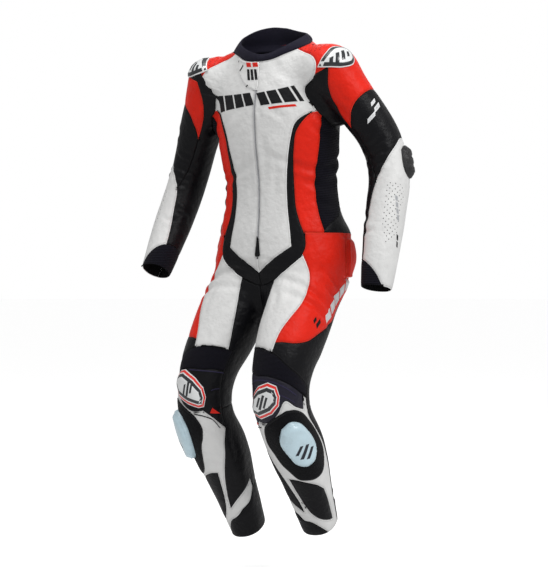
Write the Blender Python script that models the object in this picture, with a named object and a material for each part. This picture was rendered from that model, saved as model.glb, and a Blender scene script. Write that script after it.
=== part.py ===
"""Motorcycle race suit: one-piece leather suit, worn and hollow, standing with bent arms and knees.

Frame: metres, +Z up, the front faces -Y and the wearer's left is +X. The origin is the middle of
the shoulder yoke, where the wearer's neck and shoulders hold the suit up.

The suit's form is a soft union of tapered tubes: a trunk, a shoulder yoke, two arms and two legs.
Every seam is a curve drawn on that form, and each panel is the cloth between seams, as a wall.
"""

import math

import bmesh
import bpy
import numpy as np
from mathutils import Vector
from mathutils.geometry import delaunay_2d_cdt

# ---------------------------------------------------------------- driving sizes, in metres
WALL = 0.0020  # leather with its lining
SEAM_GAP = 0.0003  # between two panels
EDGE = 0.049  # the usual edge of a facet
FINE_EDGE = 0.028  # round what lies on the panels
NEAR = 0.0004  # corners closer than this are one
SOFTNESS = 0.016  # how far the tubes of the form melt into each other
ROUNDS = 4  # times the charts are cut, until no shared line gets a new point

# ---------------------------------------------------------------- the form's tables
# height, centre y, half width, depth to the front, depth to the back
TRUNK = [
    (-0.600, 0.040, 0.125, 0.105, 0.105),
    (-0.550, 0.040, 0.176, 0.124, 0.132),
    (-0.480, 0.040, 0.182, 0.124, 0.136),
    (-0.400, 0.040, 0.168, 0.117, 0.114),
    (-0.330, 0.036, 0.162, 0.114, 0.108),
    (-0.220, 0.022, 0.174, 0.118, 0.124),
    (-0.140, 0.012, 0.176, 0.112, 0.130),
    (-0.060, 0.006, 0.152, 0.088, 0.112),
    (0.000, 0.006, 0.115, 0.056, 0.075),
]
# x, y and z of the centre, radius across, radius to the front, radius to the back
YOKE = [
    (0.000, 0.006, -0.016, 0.062, 0.052, 0.066),
    (0.085, 0.000, -0.022, 0.060, 0.056, 0.068),
    (0.172, -0.014, -0.036, 0.058, 0.058, 0.066),
]
NECK = [
    (0.000, 0.006, -0.030, 0.084, 0.076, 0.080),
    (0.000, -0.018, 0.140, 0.084, 0.080, 0.080),
]
# the hip protectors under the leather
HIP_PAD = [
    (0.136, 0.070, -0.585, 0.040, 0.040, 0.040),
    (0.146, 0.075, -0.530, 0.048, 0.048, 0.048),
    (0.145, 0.075, -0.480, 0.040, 0.040, 0.040),
]
# joints as x (outwards), y, z
ARM_JOINTS = {
    "left": [(0.197, -0.020, -0.044), (0.324, 0.070, -0.262), (0.320, -0.018, -0.612)],
    "right": [(0.197, -0.020, -0.044), (0.320, 0.055, -0.285), (0.320, -0.110, -0.568)],
}
# share of the way along, radius across, radius to the front, radius to the back
ARM_SECTIONS = [
    (0.00, 0.058, 0.060, 0.062),
    (0.20, 0.056, 0.058, 0.062),
    (0.42, 0.052, 0.054, 0.058),
    (0.55, 0.052, 0.052, 0.056),
    (0.75, 0.050, 0.050, 0.050),
    (1.00, 0.040, 0.040, 0.040),
]
LEG_JOINTS = {
    "left": [(0.092, 0.034, -0.588), (0.103, -0.160, -0.868), (0.112, 0.074, -1.290)],
    "right": [(0.100, 0.034, -0.575), (0.152, -0.146, -0.892), (0.112, 0.061, -1.312)],
}
LEG_SECTIONS = [
    (0.00, 0.086, 0.094, 0.104),
    (0.20, 0.086, 0.094, 0.094),
    (0.40, 0.071, 0.079, 0.076),
    (0.50, 0.068, 0.075, 0.071),
    (0.64, 0.072, 0.060, 0.089),
    (0.82, 0.058, 0.046, 0.071),
    (1.00, 0.044, 0.046, 0.052),
]
ELBOW_BEND, KNEE_BEND = 0.40, 0.33  # share of the shorter bone that each bend takes
SAMPLES = 48  # stations on each tube


def hermite(table, at):
    """The table's other columns at these values of its first, on smooth cubics."""
    table = np.array(table, float)
    xs, ys = table[:, 0], table[:, 1:]
    slope = np.gradient(ys, xs, axis=0)
    at = np.clip(at, xs[0], xs[-1])
    i = np.clip(np.searchsorted(xs, at) - 1, 0, len(xs) - 2)
    h = (xs[i + 1] - xs[i])[:, None]
    t = (at - xs[i])[:, None] / h
    return (
        (2 * t**3 - 3 * t**2 + 1) * ys[i]
        + (t**3 - 2 * t**2 + t) * h * slope[i]
        + (3 * t**2 - 2 * t**3) * ys[i + 1]
        + (t**3 - t**2) * h * slope[i + 1]
    )


def unit(v):
    return v / np.maximum(np.linalg.norm(v, axis=-1, keepdims=True), 1e-12)


def oval_radius(across, ahead, side, front, back):
    """Radius of the oval section in the direction (across, ahead)."""
    depth = np.where(ahead > 0, front, back)
    power = 2.2
    length = np.maximum(np.hypot(across, ahead), 1e-9)
    a, b = np.abs(across) / length / side, np.abs(ahead) / length / depth
    return np.maximum(a**power + b**power, 1e-9) ** (-1 / power)


def bent_line(joints, bend, count):
    """Points along a line through three joints, whose corner is a smooth bend."""
    a, b, c = (np.array(j, float) for j in joints)
    first, second = np.linalg.norm(b - a), np.linalg.norm(c - b)
    reach = bend * min(first, second)
    start, end = b - (b - a) / first * reach, b + (c - b) / second * reach
    line = []
    for along in np.linspace(0, first + second, count):
        if along < first - reach:
            line.append(a + (b - a) * along / first)
        elif along > first + reach:
            line.append(b + (c - b) * (along - first) / second)
        else:
            k = (along - first + reach) / (2 * reach)
            line.append((1 - k) ** 2 * start + 2 * k * (1 - k) * b + k * k * end)
    return np.array(line)


class Tube:
    """A tapered tube with oval sections. side is -1 for the wearer's right, whose x is mirrored."""

    def __init__(self, centres, sections, side=1, ahead=(0, -1, 0)):
        self.side = side
        self.centre = centres
        step = np.linalg.norm(np.diff(centres, axis=0), axis=1)
        self.station = np.concatenate([[0], np.cumsum(step)])
        self.length = self.station[-1]
        self.radii = hermite(sections, self.station / self.length)
        self.along = unit(np.gradient(centres, self.station, axis=0))
        ahead = np.array(ahead, float)
        self.ahead = unit(ahead - self.along * (self.along @ ahead)[:, None])
        self.across = np.cross(self.ahead, self.along)
        if self.across[:, 0].mean() + 0.3 * self.across[:, 1].mean() < 0:
            self.across = -self.across

    def at(self, station):
        """Centre, tangent, ahead, across and radii at stations. Past an end they go on straight."""
        s = np.clip(station, 0, self.length)
        parts = [
            np.stack([np.interp(s, self.station, col[:, k]) for k in range(3)], axis=-1)
            for col in (self.centre, self.along, self.ahead, self.across, self.radii)
        ]
        parts[0] = parts[0] + parts[1] * (station - s)[:, None]
        return parts

    def local(self, points):
        """Station, across and ahead of each point."""
        q = points * np.array([self.side, 1, 1])
        station = np.empty(len(q))
        for first in range(0, len(q), 20000):
            part = q[first : first + 20000]
            near = ((part[:, None] - self.centre[None]) ** 2).sum(-1).argmin(1)
            offset = ((part - self.centre[near]) * self.along[near]).sum(-1)
            station[first : first + 20000] = self.station[near] + offset
        for _ in range(2):
            c, t, _, _, _ = self.at(station)
            station = station + ((q - c) * t).sum(-1)
        c, t, ahead, across, radii = self.at(station)
        v = q - c
        return station, (v * across).sum(-1), (v * ahead).sum(-1), radii

    def field(self, points):
        """About the distance from the tube's wall: negative inside."""
        station, across, ahead, radii = self.local(points)
        over = np.maximum(0, np.maximum(-station, station - self.length))
        r = oval_radius(across, ahead, radii[:, 0], radii[:, 1], radii[:, 2])
        return np.sqrt(across**2 + ahead**2 + over**2) - r


def trunk_field(points):
    low, high = TRUNK[0][0], TRUNK[-1][0]
    z = np.clip(points[:, 2], low, high)
    cols = hermite(TRUNK, z)
    across, ahead = points[:, 0], cols[:, 0] - points[:, 1]
    over = (points[:, 2] - z) * 1.15
    r = oval_radius(across, ahead, cols[:, 1], cols[:, 2], cols[:, 3])
    return np.sqrt(across**2 + ahead**2 + over**2) - r


def straight_tube(rows, side):
    rows = np.array(rows)
    share = np.linspace(0, 1, len(rows))
    fine = np.linspace(0, 1, SAMPLES)
    line = hermite(np.column_stack([share, rows[:, :3]]), fine)
    return Tube(line, np.column_stack([share, rows[:, 3:]]), side)


SIDES = {"left": 1, "right": -1}
ARMS = {
    name: Tube(bent_line(ARM_JOINTS[name], ELBOW_BEND, SAMPLES), ARM_SECTIONS, sign)
    for name, sign in SIDES.items()
}
LEGS = {
    name: Tube(bent_line(LEG_JOINTS[name], KNEE_BEND, SAMPLES), LEG_SECTIONS, sign)
    for name, sign in SIDES.items()
}
YOKES = {name: straight_tube(YOKE, sign) for name, sign in SIDES.items()}
PADS = {name: straight_tube(HIP_PAD, sign) for name, sign in SIDES.items()}
NECK_TUBE = straight_tube(NECK, 1)


def form(points):
    """The suit's form: the soft union of its tubes. Zero on the surface, negative inside."""
    points = np.atleast_2d(np.asarray(points, float))
    fields = [trunk_field(points), NECK_TUBE.field(points)]
    for tubes in (ARMS, LEGS, YOKES, PADS):
        fields += [tubes[name].field(points) for name in SIDES]
    fields = np.array(fields)
    least = fields.min(0)
    return least - SOFTNESS * np.log(np.exp(-(fields - least) / SOFTNESS).sum(0))


def out_of(points):
    """The form's outward normals at these points."""
    step = 1e-4
    slope = [form(points + step * axis) - form(points - step * axis) for axis in np.eye(3)]
    return unit(np.stack(slope, axis=-1))


# ---------------------------------------------------------------- charts
REACH = 0.45  # no wall lies farther than this from its chart's axis
FIRST_STEP = 0.020
TOP = -0.120  # above this height the trunk's rays fan out from one point
FAN = 0.150  # metres of station to each radian of that fan


def wall_along(origins, rays):
    """Where each ray first leaves the form."""
    distance = np.full(len(origins), FIRST_STEP)
    for _ in range(160):
        gap = form(origins + rays * distance[:, None])
        distance = np.where(gap < 0, distance + np.maximum(-gap * 0.8, 0.0008), distance)
        if (gap >= 0).all() or distance.min() > REACH:
            break
    inner, outer = np.maximum(distance - 0.02, 0), distance
    inner = np.where(form(origins + rays * inner[:, None]) < 0, inner, distance - 0.001)
    for _ in range(30):
        middle = (inner + outer) / 2
        inside = form(origins + rays * middle[:, None]) < 0
        inner, outer = np.where(inside, middle, inner), np.where(inside, outer, middle)
    return origins + rays * ((inner + outer) / 2)[:, None]


class TrunkChart:
    """Angle round the trunk (0 in front, 90 at the wearer's left) and height, fanned at the top."""

    def __init__(self, metres_a_degree):
        self.metres_a_degree = metres_a_degree

    def rays(self, uv):
        angle, v = np.radians(uv[:, 0]), uv[:, 1]
        height = np.minimum(v, TOP)
        rise = np.maximum(v - TOP, 0) / FAN
        centre = hermite(TRUNK, height)[:, 0]
        origins = np.stack([0 * v, centre, height], axis=-1)
        flat = np.stack([np.sin(angle), -np.cos(angle), 0 * v], axis=-1)
        return origins, flat * np.cos(rise)[:, None] + np.array([0, 0, 1]) * np.sin(rise)[:, None]

    def place(self, uv):
        return wall_along(*self.rays(uv))

    def find(self, points):
        height = np.minimum(points[:, 2], TOP)
        centre = hermite(TRUNK, height)[:, 0]
        x, y, z = points[:, 0], points[:, 1] - centre, points[:, 2] - height
        rise = np.arctan2(z, np.hypot(x, y))
        return np.stack([np.degrees(np.arctan2(x, -y)), height + rise * FAN], axis=-1)


class TubeChart:
    """Angle round a limb (0 in front, 90 outside, -90 inside) and station down it."""

    def __init__(self, tube, metres_a_degree):
        self.tube = tube
        self.metres_a_degree = metres_a_degree

    def place(self, uv):
        angle = np.radians(uv[:, 0])[:, None]
        centre, _, ahead, across, _ = self.tube.at(uv[:, 1])
        mirror = np.array([self.tube.side, 1, 1])
        return wall_along(centre * mirror, (across * np.sin(angle) + ahead * np.cos(angle)) * mirror)

    def find(self, points):
        station, across, ahead, _ = self.tube.local(points)
        return np.stack([np.degrees(np.arctan2(across, ahead)), station], axis=-1)


# ---------------------------------------------------------------- seams
# Every row is an angle in degrees and a station in metres. The tables give the wearer's left,
# and the right has the same rows, mirrored. A piece's outline is a list of strokes that meet at
# corners, and it may run past the chart's edge, where it is trimmed.
ARMHOLE = [
    (-180, 0.020), (-165, 0.036), (-150, 0.052), (-138, 0.078), (-126, 0.104), (-112, 0.122),
    (-98, 0.130), (-84, 0.124), (-70, 0.108), (-60, 0.076), (-52, 0.034), (-46, 0.000),
    (-34, -0.014), (0, -0.016), (30, -0.014), (60, -0.024), (98, -0.026), (130, -0.016),
    (160, 0.002), (180, 0.020),
]
COLLAR_BASE = [(-180, 0.082), (-130, 0.086), (-90, 0.080), (-60, 0.062), (-30, 0.040),
               (0, 0.034), (30, 0.037), (60, 0.055), (90, 0.075), (130, 0.083), (180, 0.082)]
COLLAR_RIM = [(-180, 0.124), (-150, 0.130), (-120, 0.124), (-90, 0.107), (-60, 0.088),
              (-30, 0.067), (-12, 0.056), (0, 0.050), (15, 0.049), (30, 0.053), (45, 0.062),
              (60, 0.073), (75, 0.084), (90, 0.093), (120, 0.102), (150, 0.111), (180, 0.124)]
HIP_LINE = [
    [(0, -0.605), (9, -0.602), (20, -0.592), (35, -0.565), (50, -0.530)],
    [(50, -0.530), (54, -0.502), (54, -0.467)],
    [(54, -0.467), (80, -0.465), (110, -0.466), (145, -0.470), (180, -0.472)],
]
CUFF_STATION = {"left": 0.618, "right": 0.590}
RIGHT_LIFT, RIGHT_STRETCH = 0.025, 0.034
CUP_TURN = {"left": 0, "right": -12}  # degrees round the arm
HEM_STATION = {"left": 0.760, "right": 0.787}
PELVIS = (0, 0.040, -0.500)  # the rise is drawn round this point
# about how long the lines are that charts share, for the number of points on each
COLLAR_ROUND, COLLAR_DEEP, BACK_LONG = 0.62, 0.045, 0.52
ARMHOLE_ROUND, CUFF_ROUND, HEM_ROUND, RISE_LONG = 0.62, 0.26, 0.34, 0.24
# metres of cloth to each degree round a chart
TRUNK_SCALE, NECK_SCALE, ARM_SCALE, LEG_SCALE = 0.0027, 0.0015, 0.00096, 0.00148

CHEST_EDGE = [
    [(57, 0.080), (58, 0.020), (62, -0.008), (62, -0.050), (62, -0.090), (66, -0.130), (72, -0.148)],
    [(72, -0.148), (60, -0.158), (50, -0.180), (45, -0.215), (42, -0.250), (38, -0.330),
     (38, -0.404), (40, -0.463), (41, -0.502)],
    [(41, -0.502), (0, -0.572)],
]
STRIPE_EDGE = [(80, -0.125), (62, -0.160), (50, -0.205), (47, -0.250), (46, -0.340), (47, -0.404),
               (50, -0.440), (54, -0.475), (57, -0.620)]
FLASH_EDGE = [(80, -0.100), (75, -0.160), (71, -0.250), (67, -0.345), (68, -0.406), (74, -0.490)]
SIDE_BACK = [(106, -0.080), (110, -0.180), (116, -0.250), (116, -0.340), (118, -0.420), (122, -0.500)]
YOKE_BACK = [(100, -0.060), (125, -0.088), (150, -0.104), (185, -0.110)]
STRETCH_TOP = [(100, -0.332), (145, -0.318), (180, -0.312), (215, -0.318), (260, -0.332)]
STRETCH_BOTTOM = [(260, -0.396), (215, -0.392), (180, -0.390), (145, -0.392), (100, -0.396)]
ZIP_HALF_ANGLE, ZIP_END = 2.2, -0.535

# each piece: its name, its outline and whether a chart holds one for each side
TRUNK_PIECES = [
    ("lower_back", [[(-185, -0.30), (-185, -0.80)], [(-185, -0.80), (185, -0.80)],
                    [(185, -0.80), (185, -0.35)], [(185, -0.35), (-185, -0.35)]], False),
    ("back_stretch", [STRETCH_TOP, [(260, -0.332), (260, -0.396)], STRETCH_BOTTOM,
                      [(100, -0.396), (100, -0.332)]], False),
    ("side_stretch", [SIDE_BACK, [(122, -0.500), (20, -0.50)], [(20, -0.50), (20, -0.08)],
                      [(20, -0.08), (106, -0.080)]], True),
    ("shoulder_yoke", [[(40, 0.12), (40, -0.05)], [(40, -0.05), (60, -0.128), (95, -0.128)],
                       YOKE_BACK, [(185, -0.110), (185, 0.12)], [(185, 0.12), (40, 0.12)]], True),
    ("front_flash", [FLASH_EDGE, [(74, -0.490), (0, -0.490)], [(0, -0.490), (0, -0.10)],
                     [(0, -0.10), (80, -0.100)]], True),
    ("front_stripe", [STRIPE_EDGE, [(57, -0.620), (0, -0.70)], [(0, -0.70), (0, -0.125)],
                      [(0, -0.125), (80, -0.125)]], True),
    ("front", [*CHEST_EDGE, [(0, -0.572), (0, 0.08)], [(0, 0.08), (57, 0.080)]], True),
    ("sleeve_inner", [[(104, -0.196), (86, -0.182), (77, -0.165), (71, -0.150), (67, -0.132), (62, -0.108),
                       (61, -0.088), (66, -0.072), (100, -0.060)], [(100, -0.060), (104, -0.196)]], True),
    ("hip_gusset", [[(66, -0.50), (74, -0.452), (90, -0.422), (108, -0.392)],
                    [(108, -0.392), (116, -0.430), (122, -0.50)], [(122, -0.50), (66, -0.50)]], True),
]
SLEEVE_PIECES = [
    ("sleeve_elbow", [[(-38, 0.140), (-34, 0.200), (-26, 0.280), (-12, 0.345)],
                      [(-12, 0.345), (60, 0.400), (152, 0.400)], [(152, 0.400), (150, 0.060)],
                      [(150, 0.060), (40, 0.050), (-38, 0.140)]]),
    ("sleeve_cap", [[(34, -0.060), (12, -0.010), (-14, 0.028), (-30, 0.065), (-38, 0.105), (-38, 0.149)],
                    [(-38, 0.149), (-20, 0.128), (-5, 0.114), (20, 0.100), (52, 0.095), (98, 0.098),
                     (135, 0.104)],
                    [(135, 0.104), (160, 0.085), (172, 0.040), (178, -0.020), (170, -0.060)],
                    [(170, -0.060), (34, -0.060)]]),
    ("sleeve_forearm", [[(-46, 0.700), (-46, 0.560), (-42, 0.500), (-30, 0.420), (-14, 0.345),
                         (5, 0.308), (37, 0.268), (60, 0.250), (95, 0.234), (125, 0.236), (150, 0.262)],
                        [(150, 0.262), (156, 0.400), (154, 0.700)], [(154, 0.700), (-46, 0.700)]]),
]
# the cuff's top edge, whose stations count from the sleeve's end
CUFF_TOP = [(62, 0.010), (43, -0.006), (20, -0.030), (-10, -0.052), (-40, -0.066), (-90, -0.072),
            (-140, -0.068), (-180, -0.050), (-206, 0.010)]
LEG_PIECES = [
    ("calf", [[(-100, 0.395), (280, 0.395)], [(280, 0.395), (280, 0.90)], [(280, 0.90), (-100, 0.90)],
              [(-100, 0.90), (-100, 0.395)]]),
    ("ankle", [[(-245, 0.662), (-180, 0.652), (-90, 0.660), (0, 0.690), (75, 0.690)],
               [(75, 0.690), (75, 0.90)], [(75, 0.90), (-245, 0.90)], [(-245, 0.90), (-245, 0.662)]]),
    ("thigh_rear", [[(5, -0.30), (5, 0.39)], [(5, 0.39), (226, 0.395)],
                    [(226, 0.395), (228, 0.20), (222, 0.05), (210, -0.02), (190, -0.30)],
                    [(190, -0.30), (5, -0.30)]]),
    ("thigh_outer", [[(5, 0.249), (20, 0.246), (45, 0.240), (66, 0.222), (85, 0.185), (108, 0.135),
                      (125, 0.090), (135, 0.000), (138, -0.080), (138, -0.250)],
                     [(138, -0.250), (5, -0.25)], [(5, -0.25), (5, 0.249)]]),
    ("thigh_front", [[(18, -0.060), (24, 0.008), (34, 0.045), (38, 0.090), (35, 0.135), (25, 0.180),
                      (15, 0.222), (8, 0.266)],
                     [(8, 0.266), (-15, 0.259), (-35, 0.253), (-56, 0.246)],
                     [(-56, 0.246), (-48, 0.205), (-37, 0.135), (-30, 0.090), (-26, 0.060), (-24, -0.060)],
                     [(-24, -0.060), (18, -0.060)]]),
    ("knee_panel", [[(-64, 0.280), (-70, 0.360), (-73, 0.450)], [(-73, 0.450), (-40, 0.460), (60, 0.450)],
                    [(60, 0.450), (82, 0.420), (82, 0.330)], [(82, 0.330), (-64, 0.280)]]),
    ("knee_stretch", [[(-66, 0.243), (-35, 0.252), (-15, 0.258), (9, 0.268), (40, 0.288), (78, 0.308),
                       (98, 0.322)],
                      [(98, 0.322), (100, 0.353)],
                      [(100, 0.353), (74, 0.338), (53, 0.3246), (29, 0.315), (0, 0.309), (-22, 0.308),
                       (-39, 0.303), (-68, 0.299)],
                      [(-68, 0.299), (-66, 0.243)]]),
    ("shin", [[(-30, 0.393), (-50, 0.415), (-72, 0.448)],
              [(-72, 0.448), (-58, 0.480), (-48, 0.520), (-34, 0.565), (-20, 0.612), (-8, 0.655),
               (-2, 0.684)],
              [(-2, 0.684), (-30, 0.668), (-60, 0.650), (-96, 0.628)], [(-96, 0.628), (-100, 0.655)],
              [(-100, 0.655), (-74, 0.684), (-40, 0.700), (-10, 0.712), (12, 0.716), (38, 0.735),
               (60, 0.765), (66, 0.860)],
              [(66, 0.860), (116, 0.860)],
              [(116, 0.860), (120, 0.700), (124, 0.600), (120, 0.520), (110, 0.450), (100, 0.410),
               (96, 0.351)],
              [(96, 0.351), (86, 0.348)], [(86, 0.348), (83, 0.381)],
              [(83, 0.381), (60, 0.368), (38, 0.353), (22, 0.375), (-5, 0.393), (-30, 0.393)]]),
    ("shin_insert", [[(-12, 0.570), (10, 0.571), (36, 0.581), (60, 0.598), (80, 0.625)],
                     [(80, 0.625), (88, 0.680), (90, 0.732)],
                     [(90, 0.732), (62, 0.720), (41, 0.7065), (22, 0.686), (7, 0.656), (-4, 0.612),
                      (-12, 0.570)]]),
]
# what lies on the panels: name, outline, lowest level over the panel, height, width of its slope
NECK_FLAP = ("neck_flap", [[(3, 0.060), (3, -0.074)],
                           [(3, -0.074), (-6, -0.070), (-20, -0.052), (-32, -0.030), (-41, -0.008),
                            (-43, 0.012), (-42, 0.060)], [(-42, 0.060), (3, 0.060)]],
             0.0003, 0.0020, 0)
SLEEVE_TOPS = [
    ("shoulder_cup", [[(-8, -0.028), (10, -0.039), (32, -0.046), (55, -0.050), (82, -0.042),
                       (100, -0.020), (94, 0.004), (68, 0.018), (41, 0.010), (17, -0.009),
                       (-8, -0.028)]], 0.0003, 0.007, 0.014),
    ("elbow_slider", [[(77, 0.262), (92, 0.254), (115, 0.252), (136, 0.262), (146, 0.285),
                       (140, 0.308), (118, 0.324), (94, 0.322), (80, 0.312), (74, 0.290),
                       (77, 0.262)]], 0.0003, 0.014, 0.014),
]
LEG_TOPS = [
    ("knee_cup", [[(-32, 0.340), (-12, 0.325), (14, 0.318), (31, 0.333), (34, 0.357), (20, 0.376),
                   (-10, 0.386), (-32, 0.381), (-40, 0.360), (-32, 0.340)]], 0.0003, 0.011, 0.018),
    ("slider_patch", [[(38, 0.371), (56, 0.373), (76, 0.387), (95, 0.422), (106, 0.473), (105, 0.530),
                       (92, 0.564), (62, 0.577), (38, 0.574), (20, 0.560), (6, 0.530), (-8, 0.480),
                       (-20, 0.446), (-20, 0.420), (-8, 0.404), (16, 0.386), (38, 0.371)]],
     0.0003, 0.002, 0),
    ("knee_slider", [[(23, 0.405), (42, 0.395), (60, 0.403), (76, 0.440), (78, 0.490), (68, 0.516),
                      (50, 0.524), (33, 0.512), (21, 0.480), (14, 0.428), (23, 0.405)]],
     0.0026, 0.018, 0.012),
]


def lifted(line, kind, side):
    """A seam on the right, moved with the cloth: its shoulder sits higher, its shin is longer."""
    u, v = line[:, 0], line[:, 1]
    if side == "right" and kind == "leg":
        share = np.clip((v - 0.60) / 0.16, 0, 1) * (1 + np.cos(np.radians(u - 90))) / 2
        return line + np.column_stack([0 * v, RIGHT_STRETCH * share])
    if side != "right" or kind != "arm" and kind != "trunk":
        return line

    def eased(values, low, high):
        share = np.clip((values - low) / (high - low), 0, 1)
        return share * share * (3 - 2 * share)

    if kind == "arm":
        by = eased(v, 0.10, 0.165) - 1
    else:
        by = eased(-u, 45, 60) * (1 - eased(-u, 95, 150)) * eased(v, -0.24, -0.15)
        by = by * (1 - eased(v, -0.075, 0.0))
    return line + np.column_stack([0 * v, by * RIGHT_LIFT])


def smooth(rows, chart, edge):
    """Points every edge or less along a smooth line through the rows."""
    rows = np.array(rows, float)
    scale = np.array([chart.metres_a_degree, 1])
    share = np.concatenate([[0], np.cumsum(np.linalg.norm(np.diff(rows * scale, axis=0), axis=1))])
    count = max(1, math.ceil(share[-1] / edge))
    if len(rows) == 2:
        return rows[0] + (rows[1] - rows[0]) * np.linspace(0, 1, count + 1)[:, None]
    return hermite(np.column_stack([share, rows]), np.linspace(0, share[-1], count + 1))


def outline(strokes, chart, edge, mirror=1):
    """A closed outline of strokes, without its last point."""
    parts = [smooth(rows, chart, edge)[:-1] for rows in strokes]
    return np.concatenate(parts) * np.array([mirror, 1])


def inside(polygon, points):
    """Which points lie in the polygon."""
    result = np.zeros(len(points), bool)
    for a, b in zip(polygon, np.roll(polygon, -1, axis=0)):
        spans = (a[1] > points[:, 1]) != (b[1] > points[:, 1])
        rise = b[1] - a[1] if b[1] != a[1] else 1.0
        cross = a[0] + (points[:, 1] - a[1]) / rise * (b[0] - a[0])
        result ^= spans & (points[:, 0] < cross)
    return result


def near_segments(points, starts, ends):
    """For each point, its distance to the nearest segment, that segment and the share along it."""
    best = np.full(len(points), 1e9)
    which = np.zeros(len(points), int)
    share = np.zeros(len(points))
    for k, (a, b) in enumerate(zip(starts, ends)):
        d = b - a
        t = np.clip((points - a) @ d / max(d @ d, 1e-18), 0, 1)
        gap = np.linalg.norm(points - a - t[:, None] * d, axis=1)
        closer = gap < best
        best[closer], which[closer], share[closer] = gap[closer], k, t[closer]
    return best, which, share


class Curve:
    """A line in space where charts meet. Both use its samples, and share any that one adds."""

    def __init__(self, points):
        self.points = np.array(points)
        self.added = set()

    def params(self):
        return np.array(sorted(self.added | set(range(len(self.points)))), float)

    def at(self, t, values=None):
        values = self.points if values is None else values
        low = np.clip(np.floor(t).astype(int), 0, len(values) - 2)
        return values[low] + (values[low + 1] - values[low]) * (t - low)[:, None]


class Side:
    """One edge of a chart's domain: a curve, its chart coordinates and the way it runs."""

    def __init__(self, curve, uv, forward=True):
        self.curve, self.base, self.forward = curve, uv, forward

    def line(self):
        t = self.curve.params()
        t = t if self.forward else t[::-1]
        return t, self.curve.at(t, self.base)


def unwrap(uv, hint):
    """The same angles, each within half a turn of the one before, the first near the hint."""
    uv = uv.copy()
    for row in uv:
        row[0] += 360 * round((hint - row[0]) / 360)
        hint = row[0]
    return uv


def triangulate(chart, sides, holes, outlines, edge):
    """Triangles of a chart that keep to its sides, its holes and the outlines on it."""
    scale = np.array([chart.metres_a_degree, 1])
    loops = [sides, *holes]
    rims = [np.concatenate([side.line()[1][:-1] for side in loop]) * scale for loop in loops]
    lines = rims + [line * scale for line in outlines]
    points = np.concatenate(lines)
    edges, first = [], 0
    for line in lines:
        edges += [(first + k, first + (k + 1) % len(line)) for k in range(len(line))]
        first += len(line)
    starts, ends = points[[a for a, _ in edges]], points[[b for _, b in edges]]
    low, high = rims[0].min(0), rims[0].max(0)
    rows = []
    for row, y in enumerate(np.arange(low[1], high[1], edge * math.sqrt(3) / 2)):
        x = np.arange(low[0] + edge / 2 * (row % 2), high[0], edge)
        rows.append(np.column_stack([x, np.full(len(x), y)]))
    grid = np.concatenate(rows)
    grid = grid[near_segments(grid, starts, ends)[0] > 0.55 * edge]
    grid = grid[inside(rims[0], grid)]
    given = [Vector(p) for p in np.concatenate([points, grid])]
    verts, _, faces, _, _, _ = delaunay_2d_cdt(given, edges, [], 0, NEAR, False)
    verts, faces = np.array([tuple(v) for v in verts]), np.array(faces)
    middles = verts[faces].mean(1)
    keep = inside(rims[0], middles)
    for hole in rims[1:]:
        keep &= ~inside(hole, middles)
    faces = faces[keep]
    used, flat = np.unique(faces, return_inverse=True)
    verts, faces = verts[used], flat.reshape(faces.shape)
    places = chart.place(verts / scale)
    for side in [side for loop in loops for side in loop]:
        t, line = side.line()
        gap, which, share = near_segments(verts, line[:-1] * scale, line[1:] * scale)
        on = gap < 2 * NEAR
        at = t[which[on]] + (t[which[on] + 1] - t[which[on]]) * share[on]
        snapped = at[:, None] - t[None]
        near = np.abs(snapped).argmin(1)
        exact = np.abs(snapped).min(1) < 0.02
        side.curve.added |= {float(v) for v in at[~exact]}
        at[exact] = t[near[exact]]
        places[on] = side.curve.at(at)
    return verts / scale, places, faces


# ---------------------------------------------------------------- the suit's one surface
def closed_line(rows, count):
    angles = np.linspace(-180, 180, count)
    return np.column_stack([angles, hermite(rows, angles)[:, 0]])


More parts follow.
